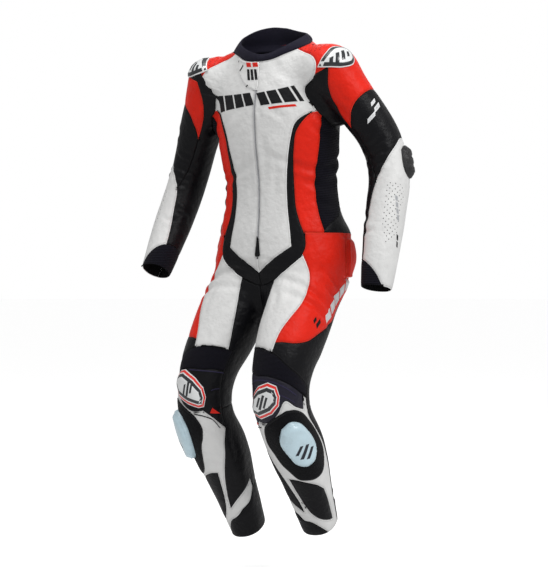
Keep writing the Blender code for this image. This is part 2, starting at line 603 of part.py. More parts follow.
class Surface:
    """All the charts' triangles, each with its piece's name and the tops that lie over it."""

    def __init__(self, edge):
        self.edge = edge
        self.trunk = TrunkChart(TRUNK_SCALE)
        self.neck = TubeChart(NECK_TUBE, NECK_SCALE)
        self.arms = {name: TubeChart(ARMS[name], ARM_SCALE) for name in SIDES}
        self.legs = {name: TubeChart(LEGS[name], LEG_SCALE) for name in SIDES}
        self.lay_curves()

    def count(self, length):
        return max(2, math.ceil(length / self.edge)) + 1

    def lay_curves(self):
        """The lines where charts meet, and each chart's domain."""
        trunk, neck = self.trunk, self.neck
        base_uv = closed_line(COLLAR_BASE, self.count(COLLAR_ROUND))
        rim_uv = closed_line(COLLAR_RIM, self.count(COLLAR_ROUND))
        base, rim = Curve(neck.place(base_uv)), Curve(neck.place(rim_uv))
        cut_uv = np.linspace(base_uv[-1], rim_uv[-1], self.count(COLLAR_DEEP))
        neck_cut = Curve(neck.place(cut_uv))
        hip_uv = np.concatenate([smooth(rows, trunk, self.edge) for rows in HIP_LINE])
        hip_uv = hip_uv[np.r_[True, np.abs(np.diff(hip_uv, axis=0)).sum(1) > 1e-9]]
        hips = {
            name: Curve(trunk.place(hip_uv * np.array([sign, 1]))) for name, sign in SIDES.items()
        }
        top = unwrap(trunk.find(base.points), -180)
        top[0, 0], top[-1, 0] = -180, 180
        back_uv = np.linspace([180, hip_uv[-1, 1]], [180, top[-1, 1]], self.count(BACK_LONG))
        back = Curve(trunk.place(back_uv))
        back.points[-1] = base.points[-1]
        flip, turn, holes = np.array([-1, 1]), np.array([360, 0]), []
        trunk_sides = [
            Side(hips["right"], hip_uv * flip, forward=False),
            Side(hips["left"], hip_uv),
            Side(back, back_uv),
            Side(base, top, forward=False),
            Side(back, back_uv * flip, forward=False),
        ]
        neck_sides = [
            Side(base, base_uv),
            Side(neck_cut, cut_uv),
            Side(rim, rim_uv, forward=False),
            Side(neck_cut, cut_uv - turn, forward=False),
        ]
        self.domains = {"trunk": (trunk, trunk_sides, holes), "neck": (neck, neck_sides, [])}
        for name in SIDES:
            self.lay_arm(name, holes)
            self.lay_leg(name, hips[name], hip_uv)

    def lay_arm(self, name, holes):
        chart, sign = self.arms[name], SIDES[name]
        hole_uv = closed_line(ARMHOLE, self.count(ARMHOLE_ROUND))
        hole = Curve(chart.place(hole_uv))
        end = CUFF_STATION[name]
        cuff_uv = closed_line([(-180, end), (0, end), (180, end)], self.count(CUFF_ROUND))
        cut_uv = np.linspace(hole_uv[-1], cuff_uv[-1], self.count(end))
        cut, cuff = Curve(chart.place(cut_uv)), Curve(chart.place(cuff_uv))
        cut.points[0], cut.points[-1] = hole.points[-1], cuff.points[-1]
        self.domains["arm_" + name] = (
            chart,
            [
                Side(hole, hole_uv, forward=False),
                Side(cut, cut_uv - np.array([360, 0])),
                Side(cuff, cuff_uv),
                Side(cut, cut_uv, forward=False),
            ],
            [],
        )
        holes.append([Side(hole, unwrap(self.trunk.find(hole.points), sign * 100))])

    def lay_leg(self, name, hip, hip_uv):
        chart = self.legs[name]
        if not hasattr(self, "rise"):
            self.lay_rise(hip)
        front, back = self.rise
        crotch = front.points[-1]
        front_uv = unwrap(chart.find(front.points), -30)
        front_uv[-1, 0] = -90
        hip_leg = unwrap(chart.find(hip.points), front_uv[0, 0])
        back_uv = unwrap(chart.find(back.points), hip_leg[-1, 0])
        back_uv[-1, 0] = 270
        end = HEM_STATION[name]
        hem_uv = closed_line([(-180, end), (0, end), (180, end)], self.count(HEM_ROUND))
        hem_uv = hem_uv + np.array([90, 0])
        seam_uv = np.linspace([-90, front_uv[-1, 1]], [-90, end], self.count(end))
        seam, hem = Curve(chart.place(seam_uv)), Curve(chart.place(hem_uv))
        seam.points[0], seam.points[-1] = crotch, hem.points[0]
        hem.points[-1] = hem.points[0]
        turn = np.array([360, 0])
        self.domains["leg_" + name] = (
            chart,
            [
                Side(hip, hip_leg, forward=False),
                Side(front, front_uv),
                Side(seam, seam_uv),
                Side(hem, hem_uv),
                Side(seam, seam_uv + turn, forward=False),
                Side(back, back_uv, forward=False),
            ],
            [],
        )

    def lay_rise(self, hip):
        """The seam between the legs, in the plane x = 0: from the front down to the crotch, and back."""
        centre = np.array(PELVIS)

        def at(angles):
            angles = np.radians(angles)
            rays = np.stack([0 * angles, -np.cos(angles), -np.sin(angles)], axis=-1)
            return wall_along(np.tile(centre, (len(angles), 1)), rays)

        ways = hip.points[[0, -1]] - centre
        ends = [math.degrees(math.atan2(-z, -y)) for _, y, z in ways]
        ends[1] %= 360
        fine = np.linspace(*ends, 400)
        turn = unwrap(self.legs["left"].find(at(fine)), -30)[:, 0]
        low = float(fine[np.abs(turn + 90).argmin()])
        parts = [Curve(at(np.linspace(end, low, self.count(RISE_LONG)))) for end in ends]
        parts[0].points[0], parts[1].points[0] = hip.points[0], hip.points[-1]
        parts[1].points[-1] = parts[0].points[-1]
        self.rise = parts

    def pieces_of(self, domain):
        """The outlines on a chart, in the order that they are laid: name, line."""
        chart, edge = self.domains[domain][0], self.edge
        kind, _, name = domain.partition("_")
        laid = []
        if kind == "trunk":
            laid += [
                (
                    f"{piece}_{side}" if paired else piece,
                    lifted(outline(rows, chart, edge, sign), kind, side),
                )
                for piece, rows, paired in TRUNK_PIECES
                for side, sign in SIDES.items()
                if paired or sign > 0
            ]
            width, end = ZIP_HALF_ANGLE, ZIP_END
            zip_rows = [[(width, 0.1), (width, end)], [(width, end), (-width, end)],
                        [(-width, end), (-width, 0.1)], [(-width, 0.1), (width, 0.1)]]
            laid.append(("zip", outline(zip_rows, chart, edge)))
        if kind == "arm":
            cuff = [(u, v + CUFF_STATION[name]) for u, v in CUFF_TOP]
            low = CUFF_STATION[name] + 0.05
            ends = [(cuff[-1][0], low), (cuff[0][0], low)]
            cuff_strokes = [cuff, [cuff[-1], ends[0]], ends, [ends[1], cuff[0]]]
            rows = [*SLEEVE_PIECES, ("sleeve_cuff", cuff_strokes)]
            laid += [
                (f"{piece}_{name}", lifted(outline(strokes, chart, edge), kind, name))
                for piece, strokes in rows
            ]
        if kind == "leg":
            laid += [
                (f"{piece}_{name}", lifted(outline(rows, chart, edge), kind, name))
                for piece, rows in LEG_PIECES
            ]
        return laid

    def tops_of(self, domain):
        """What lies over a chart's panels: name, line, level, height, slope."""
        chart = self.domains[domain][0]
        kind, _, name = domain.partition("_")
        fine = min(self.edge, FINE_EDGE)
        if kind == "trunk":
            found = [(NECK_FLAP[0], outline(NECK_FLAP[1], chart, self.edge), *NECK_FLAP[2:])]
            for side in SIDES:
                arm = self.arms[side]
                cup = SLEEVE_TOPS[0]
                line = lifted(outline(cup[1], arm, fine), "arm", side) + [CUP_TURN[side], 0]
                line = unwrap(chart.find(arm.place(line)), SIDES[side] * 80)
                found.append((f"{cup[0]}_{side}", line, *cup[2:]))
            return found
        rows = {"arm": SLEEVE_TOPS, "leg": LEG_TOPS}.get(kind, [])
        found = []
        for top in rows:
            line = outline(top[1], chart, fine)
            if top[0] == "shoulder_cup":
                line = lifted(line, kind, name) + [CUP_TURN[name], 0]
            found.append((f"{top[0]}_{name}", line, *top[2:]))
        return found

    def shared_points(self):
        """How many points the charts have added to each shared line."""
        sides = [side for _, rim, holes in self.domains.values() for loop in [rim, *holes] for side in loop]
        return {id(side.curve): len(side.curve.added) for side in sides}

    def build_chart(self, domain):
        """A chart's points in space, its triangles, their pieces' names and the tops over each."""
        chart, sides, holes = self.domains[domain]
        kind, _, name = domain.partition("_")
        laid, tops = self.pieces_of(domain), self.tops_of(domain)
        turns = [np.array([turn, 0]) for turn in (-360, 0, 360)]
        copies = [line + turn for _, line, *_ in laid + tops for turn in turns]
        low = min(side.base[:, 0].min() for side in sides)
        high = max(side.base[:, 0].max() for side in sides)
        copies = [c for c in copies if c[:, 0].max() > low - 1 and c[:, 0].min() < high + 1]
        uv, places, faces = triangulate(chart, sides, holes, copies, self.edge)
        middles = uv[faces].mean(1)
        first = {"trunk": "back_panel", "neck": "collar", "arm": f"sleeve_inner_{name}"}
        labels = np.full(len(faces), first.get(kind, f"leg_inner_{name}"), dtype=object)
        for piece, line in laid:
            labels[np.any([inside(line, middles + turn) for turn in turns], axis=0)] = piece
        over = [set() for _ in faces]
        for top, line, *_ in tops:
            for k in np.flatnonzero(np.any([inside(line, middles + turn) for turn in turns], axis=0)):
                over[k].add(top)
        return places, faces, labels, over

    def build(self):
        """Vertices, triangles, the triangles' names and the sets of tops over each."""
        for _ in range(ROUNDS):
            before = self.shared_points()
            parts = [self.build_chart(domain) for domain in self.domains]
            if before == self.shared_points():
                break
        return weld(parts)


def weld(parts):
    """The charts' meshes as one, with equal corners joined."""
    mesh = bmesh.new()
    names, overs = [], []
    mark = mesh.faces.layers.int.new("row")
    for places, faces, labels, over in parts:
        verts = [mesh.verts.new(p) for p in places]
        for face, label, tops in zip(faces, labels, over):
            new = mesh.faces.new([verts[k] for k in face])
            new[mark] = len(names)
            names.append(label)
            overs.append(frozenset(tops))
    bmesh.ops.remove_doubles(mesh, verts=mesh.verts, dist=5e-5)
    mesh.verts.index_update()
    points = np.array([v.co[:] for v in mesh.verts])
    rows = [face[mark] for face in mesh.faces]
    faces = np.array([[v.index for v in face.verts] for face in mesh.faces])
    mesh.free()
    names, overs = [names[r] for r in rows], [overs[r] for r in rows]
    middles = points[faces].mean(1)
    corners = points[faces]
    across = np.cross(corners[:, 1] - corners[:, 0], corners[:, 2] - corners[:, 0])
    turned = (across * out_of(middles)).sum(1) < 0
    faces[turned] = faces[turned][:, ::-1]
    return points, faces, give_scraps(faces, names), overs


def give_scraps(faces, names):
    """Each piece's largest patch keeps its name, and any scrap joins the neighbour it meets most."""
    names = list(names)
    edges = {}
    for k, face in enumerate(faces):
        for a, b in zip(face, np.roll(face, -1)):
            edges.setdefault((min(a, b), max(a, b)), []).append(k)
    meets = [[] for _ in faces]
    for pair in edges.values():
        for k in pair:
            meets[k] += [other for other in pair if other != k]
    for _ in range(3):
        patches, seen = {}, set()
        for start in range(len(faces)):
            if start in seen:
                continue
            patch, queue = [], [start]
            seen.add(start)
            while queue:
                k = queue.pop()
                patch.append(k)
                fresh = [o for o in meets[k] if o not in seen and names[o] == names[start]]
                seen.update(fresh)
                queue += fresh
            patches.setdefault(names[start], []).append(patch)
        scraps = [p for found in patches.values() for p in sorted(found, key=len)[:-1]]
        if not scraps:
            break
        for patch in scraps:
            own = names[patch[0]]
            others = [names[o] for k in patch for o in meets[k] if names[o] != own]
            if others:
                best = max(sorted(set(others)), key=others.count)
                for k in patch:
                    names[k] = best
    return names


# ---------------------------------------------------------------- walls
def rim_of(faces):
    """The boundary edges of some triangles, as they run round the triangles."""
    runs = {(int(a), int(b)) for face in faces for a, b in zip(face, np.roll(face, -1))}
    return [run for run in runs if run[::-1] not in runs]


def inset(points, normals, faces, rim, by):
    """The points, with those on the rim drawn into the patch."""
    moved = points.copy()
    pull = {}
    for a, b in rim:
        along = unit(points[b] - points[a])
        for k in (a, b):
            pull.setdefault(k, []).append(np.cross(normals[k], along))
    for k, ways in pull.items():
        total = np.sum([unit(w) for w in ways], axis=0)
        size = np.linalg.norm(total) / len(ways)
        moved[k] = points[k] + unit(total) * by / max(size, 0.5)
    return moved


def add_object(name, points, faces, material):
    data = bpy.data.meshes.new(name)
    data.from_pydata([tuple(p) for p in points], [], [tuple(int(i) for i in f) for f in faces])
    data.validate()
    data.materials.append(material)
    thing = bpy.data.objects.new(name, data)
    bpy.context.scene.collection.objects.link(thing)
    return thing


def closed_wall(name, points, normals, faces, low, high, material):
    """A closed solid between two levels over a patch. Each level is one number or one a point."""
    used, flat = np.unique(faces, return_inverse=True)
    faces = flat.reshape(faces.shape)
    points, normals = points[used], normals[used]
    low = np.broadcast_to(low, len(normals)) if np.ndim(low) == 0 else low[used]
    high = np.broadcast_to(high, len(normals)) if np.ndim(high) == 0 else high[used]
    rim = rim_of(faces)
    edge = inset(points, normals, faces, rim, SEAM_GAP / 2)
    top, bottom = edge + normals * high[:, None], edge + normals * low[:, None]
    count = len(used)
    walls = []
    for a, b in rim:
        if used[a] < used[b]:  # both neighbours split a wall along the same diagonal
            walls += [(b, a, b + count), (a, a + count, b + count)]
        else:
            walls += [(b, a, a + count), (b, a + count, b + count)]
    solid = list(faces) + list(faces[:, ::-1] + count) + walls
    return add_object(name, np.concatenate([top, bottom]), solid, material)


# ---------------------------------------------------------------- colours
def material(name, colour, roughness, metallic=0.0):
    made = bpy.data.materials.new(name)
    made.use_nodes = True
    shader = made.node_tree.nodes["Principled BSDF"]
    shader.inputs["Base Color"].default_value = (*colour, 1)
    shader.inputs["Roughness"].default_value = roughness
    shader.inputs["Metallic"].default_value = metallic
    return made


WHITE, RED, BLACK = "white_leather", "red_leather", "black_leather"
STRETCH, TRIM, ARMOUR, PUCK, TEETH = "stretch", "collar_trim", "armour", "puck", "zip_teeth"
LOOKS = {
    WHITE: ((0.78, 0.78, 0.77), 0.45),
    RED: ((0.80, 0.035, 0.015), 0.45),
    BLACK: ((0.013, 0.013, 0.014), 0.45),
    STRETCH: ((0.010, 0.009, 0.020), 0.85),
    TRIM: ((0.026, 0.026, 0.045), 0.75),
    ARMOUR: ((0.020, 0.020, 0.024), 0.35),
    PUCK: ((0.52, 0.68, 0.73), 0.35),
    TEETH: ((0.35, 0.35, 0.36), 0.40),
}
FINISH = {
    "front": WHITE, "back_panel": WHITE, "sleeve_forearm": WHITE, "thigh_front": WHITE,
    "shin": WHITE, "neck_flap": WHITE, "front_flash": RED, "shoulder_yoke": RED,
    "sleeve_cap": RED, "thigh_outer": RED, "side_stretch": STRETCH, "back_stretch": STRETCH,
    "knee_stretch": STRETCH, "sleeve_cuff": STRETCH, "collar": TRIM, "shoulder_cup": ARMOUR,
    "elbow_slider": ARMOUR, "knee_cup": ARMOUR, "knee_slider": PUCK, "zip": TEETH,
}  # fmt: skip


def finish_of(name):
    base = name.removesuffix("_left").removesuffix("_right")
    return FINISH.get(base, BLACK)


# ---------------------------------------------------------------- building
def slope_height(points, faces, height, width):
    """A top's height at each point: nothing much at its rim, all of it past its slope's width."""
    level = np.full(len(points), height)
    if width == 0:
        return level
    rim = rim_of(faces)
    used = np.unique(faces)
    gap, _, _ = near_segments(points[used], points[[a for a, _ in rim]], points[[b for _, b in rim]])
    share = np.clip(gap / width, 0, 1)
    level[used] = height * (0.25 + 0.75 * np.sin(share * math.pi / 2))
    return level


def build_suit():
    for old in list(bpy.data.objects):
        bpy.data.objects.remove(old)
    looks = {name: material(name, *look) for name, look in LOOKS.items()}
    surface = Surface(EDGE)
    points, faces, names, overs = surface.build()
    normals = out_of(points)
    names = np.array(names)
    for name in sorted(set(names)):
        closed_wall(name, points, normals, faces[names == name], -WALL, 0.0, looks[finish_of(name)])
    tops = {NECK_FLAP[0]: NECK_FLAP[2:]}
    for row in SLEEVE_TOPS + LEG_TOPS:
        tops |= {f"{row[0]}_{side}": row[2:] for side in SIDES}
    for name, (level, height, width) in sorted(tops.items()):
        patch = faces[[name in over for over in overs]]
        high = level + slope_height(points, patch, height, width)
        closed_wall(name, points, normals, patch, level, high, looks[finish_of(name)])


build_suit()
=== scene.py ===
# %% [markdown]
# # Motorcycle race suit
# A race suit is cut from some sixty pieces of leather and stretch cloth, and sewn so that it
# already has a rider's bent arms and knees. This notebook builds its visible cloth: one thin
# surface is cut along the seams, creased, given its thickness and dressed with grain, ribs,
# holes and stitches. Moulded armour, sliders, a zip and a collar are then laid on it.
# The frame is in metres, +Z up, with the front of the suit facing -Y.

# %% Load the frame
import math

import bmesh
import bpy
import numpy as np
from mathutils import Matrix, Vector, noise
from mathutils.geometry import delaunay_2d_cdt
from mathutils.kdtree import KDTree


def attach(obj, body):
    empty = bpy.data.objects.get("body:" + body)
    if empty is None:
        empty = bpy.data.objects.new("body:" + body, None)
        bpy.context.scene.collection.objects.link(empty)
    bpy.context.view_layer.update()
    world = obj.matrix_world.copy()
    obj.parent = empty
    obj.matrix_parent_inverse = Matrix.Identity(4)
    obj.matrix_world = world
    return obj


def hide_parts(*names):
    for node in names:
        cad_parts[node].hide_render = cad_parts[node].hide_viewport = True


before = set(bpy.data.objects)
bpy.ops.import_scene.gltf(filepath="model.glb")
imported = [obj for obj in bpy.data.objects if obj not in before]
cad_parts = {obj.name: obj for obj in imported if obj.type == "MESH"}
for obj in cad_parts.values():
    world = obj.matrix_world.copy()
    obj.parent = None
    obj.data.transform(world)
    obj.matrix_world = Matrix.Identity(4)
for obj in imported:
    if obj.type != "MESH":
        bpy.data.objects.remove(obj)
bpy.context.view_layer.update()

# %% [markdown]
# ## Camera
# The suit is looked at from a little to its own left, at hip height and from far enough away
# for a long lens. A long lens keeps the sleeves and legs in proportion.

# %% Camera
AZIMUTH = math.radians(32)
DISTANCE = 3.3
AIM = Vector((-0.0139, 0.0213, -0.600))
RENDER_SIDE, FOCAL_PIXELS = 567, 1204  # the render's long side, and the lens in the same unit

camera = bpy.data.objects.new("camera", bpy.data.cameras.new("camera"))
bpy.context.scene.collection.objects.link(camera)
bpy.context.scene.camera = camera
away = Vector((math.sin(AZIMUTH), -math.cos(AZIMUTH), 0))
camera.location = AIM + away * DISTANCE
camera.rotation_euler = (-away).to_track_quat("-Z", "Y").to_euler()
camera.data.lens = camera.data.sensor_width * FOCAL_PIXELS / RENDER_SIDE
print("lens, mm:", round(camera.data.lens, 1))

# %% [markdown]
# ## Floor and light
# A pale floor and a pale sky keep the black leather's outline clear. One large lamp high on
# the suit's left models the folds, one above it lights the shoulders, and a weak one behind draws
# an edge. The sky fills the shadows, as white walls do in a studio.

# %% Floor and light
FLOOR_HEIGHT, FLOOR_RADIUS = -1.40, 60.0
SKY_SEEN, SKY_SHED = 1.0, 0.50  # how bright the white walls look, and how much they light
FLOOR_GLOW = 0.55  # makes the floor look as white as the walls, away from the suit's shadow
# name, azimuth and height in degrees, distance, size, power
LAMPS = [
    ("key_lamp", 74, 38, 3.2, 1.1, 44),
    ("top_lamp", -10, 72, 2.6, 1.2, 22),
    ("back_lamp", 205, 30, 3.2, 1.8, 16),
]


def seen_only(tree, seen, other):
    """A value for what the camera looks at, and another for what lights the scene."""
    path, mix = tree.nodes.new("ShaderNodeLightPath"), tree.nodes.new("ShaderNodeMapRange")
    tree.links.new(path.outputs["Is Camera Ray"], mix.inputs["Value"])
    mix.inputs["To Min"].default_value, mix.inputs["To Max"].default_value = other, seen
    return mix.outputs["Result"]


def studio_paper():
    made = bpy.data.materials.new("studio_paper")
    made.use_nodes = True
    tree = made.node_tree
    shader = tree.nodes["Principled BSDF"]
    shader.inputs["Base Color"].default_value = (0.86, 0.86, 0.86, 1)
    shader.inputs["Roughness"].default_value = 0.9
    shader.inputs["Emission Color"].default_value = (1, 1, 1, 1)
    tree.links.new(seen_only(tree, FLOOR_GLOW, 0.0), shader.inputs["Emission Strength"])
    return made


floor_mesh = bmesh.new()
bmesh.ops.create_circle(floor_mesh, cap_ends=True, radius=FLOOR_RADIUS, segments=96)
bmesh.ops.translate(floor_mesh, vec=(0, 0, FLOOR_HEIGHT), verts=floor_mesh.verts)
floor = bpy.data.objects.new("studio_floor", bpy.data.meshes.new("studio_floor"))
floor_mesh.to_mesh(floor.data)
floor_mesh.free()
floor.data.materials.append(studio_paper())
bpy.context.scene.collection.objects.link(floor)

for name, azimuth, height, distance, size, power in LAMPS:
    lamp = bpy.data.objects.new(name, bpy.data.lights.new(name, "AREA"))
    lamp.data.size = size
    lamp.data.energy = power
    a, h = math.radians(azimuth), math.radians(height)
    way = Vector((math.sin(a) * math.cos(h), -math.cos(a) * math.cos(h), math.sin(h)))
    lamp.location = AIM + way * distance
    lamp.rotation_euler = (-way).to_track_quat("-Z", "Y").to_euler()
    bpy.context.scene.collection.objects.link(lamp)

sky = bpy.data.worlds.new("studio_sky")
sky.use_nodes = True
sky.node_tree.nodes["Background"].inputs["Color"].default_value = (1, 1, 1, 1)
sky.node_tree.links.new(seen_only(sky.node_tree, SKY_SEEN, SKY_SHED),
                        sky.node_tree.nodes["Background"].inputs["Strength"])
bpy.context.scene.world = sky
bpy.context.scene.view_settings.view_transform = "Standard"
print("lamps:", [row[0] for row in LAMPS])

# %% [markdown]
# ## The suit's form
# Leather over a rider is a smooth, slightly stiff skin, so its form is a soft union of tapered
# tubes: a trunk, a shoulder yoke, a neck, two arms, two legs and the hip pads. Each tube has a
# centre line and a table of oval sections. A soft union melts them together as cloth does.

# %% Sections of the body, arms and legs
SOFTNESS = 0.016  # how far the tubes melt into each other
# height, centre y, half width, depth to the front, depth to the back
TRUNK = [
    (-0.600, 0.040, 0.125, 0.105, 0.105),
    (-0.550, 0.040, 0.176, 0.124, 0.132),
    (-0.480, 0.040, 0.182, 0.124, 0.136),
    (-0.400, 0.040, 0.168, 0.117, 0.114),
    (-0.330, 0.036, 0.162, 0.114, 0.108),
    (-0.220, 0.022, 0.174, 0.118, 0.124),
    (-0.140, 0.012, 0.176, 0.112, 0.130),
    (-0.060, 0.006, 0.152, 0.088, 0.112),
    (0.000, 0.006, 0.115, 0.056, 0.075),
]
# x, y and z of the centre, radius across, radius to the front, radius to the back
YOKE = [
    (0.000, 0.006, -0.016, 0.062, 0.052, 0.066),
    (0.085, 0.000, -0.022, 0.060, 0.056, 0.068),
    (0.172, -0.014, -0.036, 0.058, 0.058, 0.066),
]
NECK = [
    (0.000, 0.006, -0.030, 0.084, 0.076, 0.080),
    (0.000, -0.018, 0.140, 0.084, 0.080, 0.080),
]
HIP_PAD = [
    (0.136, 0.070, -0.585, 0.040, 0.040, 0.040),
    (0.146, 0.075, -0.530, 0.048, 0.048, 0.048),
    (0.145, 0.075, -0.480, 0.040, 0.040, 0.040),
]
# joints as x (outwards), y, z
ARM_JOINTS = {
    "left": [(0.197, -0.020, -0.044), (0.324, 0.070, -0.262), (0.320, -0.018, -0.612)],
    "right": [(0.197, -0.020, -0.044), (0.320, 0.055, -0.285), (0.320, -0.110, -0.568)],
}
# share of the way along, radius across, radius to the front, radius to the back
ARM_SECTIONS = [
    (0.00, 0.058, 0.060, 0.062),
    (0.20, 0.056, 0.058, 0.062),
    (0.42, 0.052, 0.054, 0.058),
    (0.55, 0.052, 0.052, 0.056),
    (0.75, 0.050, 0.050, 0.050),
    (1.00, 0.040, 0.040, 0.040),
]
LEG_JOINTS = {
    "left": [(0.092, 0.034, -0.588), (0.103, -0.160, -0.868), (0.112, 0.074, -1.290)],
    "right": [(0.100, 0.034, -0.575), (0.152, -0.146, -0.892), (0.112, 0.061, -1.312)],
}
LEG_SECTIONS = [
    (0.00, 0.086, 0.094, 0.104),
    (0.20, 0.086, 0.094, 0.094),
    (0.40, 0.071, 0.079, 0.076),
    (0.50, 0.068, 0.075, 0.071),
    (0.64, 0.072, 0.060, 0.089),
    (0.82, 0.058, 0.046, 0.071),
    (1.00, 0.044, 0.046, 0.052),
]
ELBOW_BEND, KNEE_BEND = 0.40, 0.33  # share of the shorter bone that each joint's bend takes
STATIONS = 48  # centre points on each tube
OVAL_POWER = 2.2  # a little squarer than an ellipse
SIDES = {"left": 1, "right": -1}
print("tubes:", 2 + 4 * len(SIDES))


# %% Smooth tables and ovals
def hermite(table, at):
    """The table's other columns at these values of its first, on smooth cubics."""
    table = np.array(table, float)
    xs, ys = table[:, 0], table[:, 1:]
    slope = np.gradient(ys, xs, axis=0)
    at = np.clip(at, xs[0], xs[-1])
    i = np.clip(np.searchsorted(xs, at) - 1, 0, len(xs) - 2)
    h = (xs[i + 1] - xs[i])[:, None]
    t = (at - xs[i])[:, None] / h
    return (
        (2 * t**3 - 3 * t**2 + 1) * ys[i]
        + (t**3 - 2 * t**2 + t) * h * slope[i]
        + (3 * t**2 - 2 * t**3) * ys[i + 1]
        + (t**3 - t**2) * h * slope[i + 1]
    )


def unit(v):
    return v / np.maximum(np.linalg.norm(v, axis=-1, keepdims=True), 1e-12)


def oval_radius(across, ahead, side, front, back):
    """Radius of the oval section in the direction (across, ahead)."""
    depth = np.where(ahead > 0, front, back)
    length = np.maximum(np.hypot(across, ahead), 1e-9)
    a, b = np.abs(across) / length / side, np.abs(ahead) / length / depth
    return np.maximum(a**OVAL_POWER + b**OVAL_POWER, 1e-9) ** (-1 / OVAL_POWER)


def bent_line(joints, bend, count):
    """Points along a line through three joints, whose corner is a smooth bend."""
    a, b, c = (np.array(j, float) for j in joints)
    first, second = np.linalg.norm(b - a), np.linalg.norm(c - b)
    reach = bend * min(first, second)
    start, end = b - (b - a) / first * reach, b + (c - b) / second * reach
    line = []
    for along in np.linspace(0, first + second, count):
        if along < first - reach:
            line.append(a + (b - a) * along / first)
        elif along > first + reach:
            line.append(b + (c - b) * (along - first) / second)
        else:
            k = (along - first + reach) / (2 * reach)
            line.append((1 - k) ** 2 * start + 2 * k * (1 - k) * b + k * k * end)
    return np.array(line)


print("elbow at", np.round(bent_line(ARM_JOINTS["left"], ELBOW_BEND, 3)[1], 3))


# %% Tubes and their soft union
FAR = 0.25  # a tube this far away has no say
CLOSE = 0.11  # a tube is asked only about points this near its box


class Tube:
    """A tapered tube with oval sections. side is -1 for the wearer's right, whose x is mirrored."""

    def __init__(self, centres, sections, side):
        self.side = side
        self.centre = centres
        step = np.linalg.norm(np.diff(centres, axis=0), axis=1)
        self.station = np.concatenate([[0], np.cumsum(step)])
        self.length = self.station[-1]
        self.radii = hermite(sections, self.station / self.length)
        self.along = unit(np.gradient(centres, self.station, axis=0))
        ahead = np.array((0.0, -1.0, 0.0))
        self.ahead = unit(ahead - self.along * (self.along @ ahead)[:, None])
        self.across = np.cross(self.ahead, self.along)
        if self.across[:, 0].mean() + 0.3 * self.across[:, 1].mean() < 0:
            self.across = -self.across
        reach = self.radii.max() + CLOSE
        self.low, self.high = centres.min(0) - reach, centres.max(0) + reach

    def at(self, station):
        """Centre, tangent, ahead, across and radii at stations. Past an end they go on straight."""
        s = np.clip(station, 0, self.length)
        parts = [
            np.stack([np.interp(s, self.station, col[:, k]) for k in range(3)], axis=-1)
            for col in (self.centre, self.along, self.ahead, self.across, self.radii)
        ]
        parts[0] = parts[0] + parts[1] * (station - s)[:, None]
        return parts

    def local(self, points):
        """Station, across, ahead and radii of each point."""
        q = points * np.array([self.side, 1, 1])
        station = np.empty(len(q))
        for first in range(0, len(q), 20000):
            part = q[first : first + 20000]
            square = -2 * part @ self.centre.T + (self.centre**2).sum(-1)
            near = square.argmin(1)
            offset = ((part - self.centre[near]) * self.along[near]).sum(-1)
            station[first : first + 20000] = self.station[near] + offset
        for _ in range(2):
            c, t, _, _, _ = self.at(station)
            station = station + ((q - c) * t).sum(-1)
        c, t, ahead, across, radii = self.at(station)
        v = q - c
        return station, (v * across).sum(-1), (v * ahead).sum(-1), radii

    def field(self, points):
        """About the distance from the tube's wall: negative inside, and FAR where it is far."""
        q = points * np.array([self.side, 1, 1])
        close = ((q > self.low) & (q < self.high)).all(1)
        result = np.full(len(points), FAR)
        if close.any():
            station, across, ahead, radii = self.local(points[close])
            over = np.maximum(0, np.maximum(-station, station - self.length))
            r = oval_radius(across, ahead, radii[:, 0], radii[:, 1], radii[:, 2])
            result[close] = np.sqrt(across**2 + ahead**2 + over**2) - r
        return result


def trunk_field(points):
    low, high = TRUNK[0][0], TRUNK[-1][0]
    z = np.clip(points[:, 2], low, high)
    cols = hermite(TRUNK, z)
    across, ahead = points[:, 0], cols[:, 0] - points[:, 1]
    over = (points[:, 2] - z) * 1.15
    r = oval_radius(across, ahead, cols[:, 1], cols[:, 2], cols[:, 3])
    return np.sqrt(across**2 + ahead**2 + over**2) - r


def straight_tube(rows, side):
    rows = np.array(rows)
    share = np.linspace(0, 1, len(rows))
    fine = np.linspace(0, 1, STATIONS)
    line = hermite(np.column_stack([share, rows[:, :3]]), fine)
    return Tube(line, np.column_stack([share, rows[:, 3:]]), side)


def limbs(joints, sections, bend):
    """The left and the right limb."""
    lines = {name: bent_line(rows, bend, STATIONS) for name, rows in joints.items()}
    return {name: Tube(line, sections, SIDES[name]) for name, line in lines.items()}


ARMS = limbs(ARM_JOINTS, ARM_SECTIONS, ELBOW_BEND)
LEGS = limbs(LEG_JOINTS, LEG_SECTIONS, KNEE_BEND)
NECK_TUBE = straight_tube(NECK, 1)
TUBES = [NECK_TUBE, *ARMS.values(), *LEGS.values()]
TUBES += [straight_tube(rows, s) for rows in (YOKE, HIP_PAD) for s in SIDES.values()]


def form(points):
    """The soft union of all tubes. Zero on the surface, negative inside."""
    points = np.atleast_2d(np.asarray(points, float))
    fields = np.array([trunk_field(points), *(tube.field(points) for tube in TUBES)])
    least = fields.min(0)
    return least - SOFTNESS * np.log(np.exp(-(fields - least) / SOFTNESS).sum(0))


def out_of(points):
    """The form's outward normals at these points."""
    step = 1e-4
    slope = [form(points + step * axis) - form(points - step * axis) for axis in np.eye(3)]
    return unit(np.stack(slope, axis=-1))


print("leg lengths:", [round(float(leg.length), 4) for leg in LEGS.values()])
print("form at the chest's middle:", round(float(form([(0, 0, -0.2)])[0]), 3))

# %% [markdown]
# ## Charts
# A seam is easiest to describe as a tailor does, by how far round the limb and how far down it
# lies. A chart turns an angle and a station into a point on the surface: it sends a ray out of
# the limb's centre line and stops where the ray leaves the form.

# %% Charts of the trunk and the limbs
FIRST_STEP = 0.020  # no wall is nearer its centre line than this
LEAST_STEP = 0.0008
TOP = -0.120  # above this height the trunk's rays fan out from one point
FAN = 0.150  # metres of station to each radian of that fan
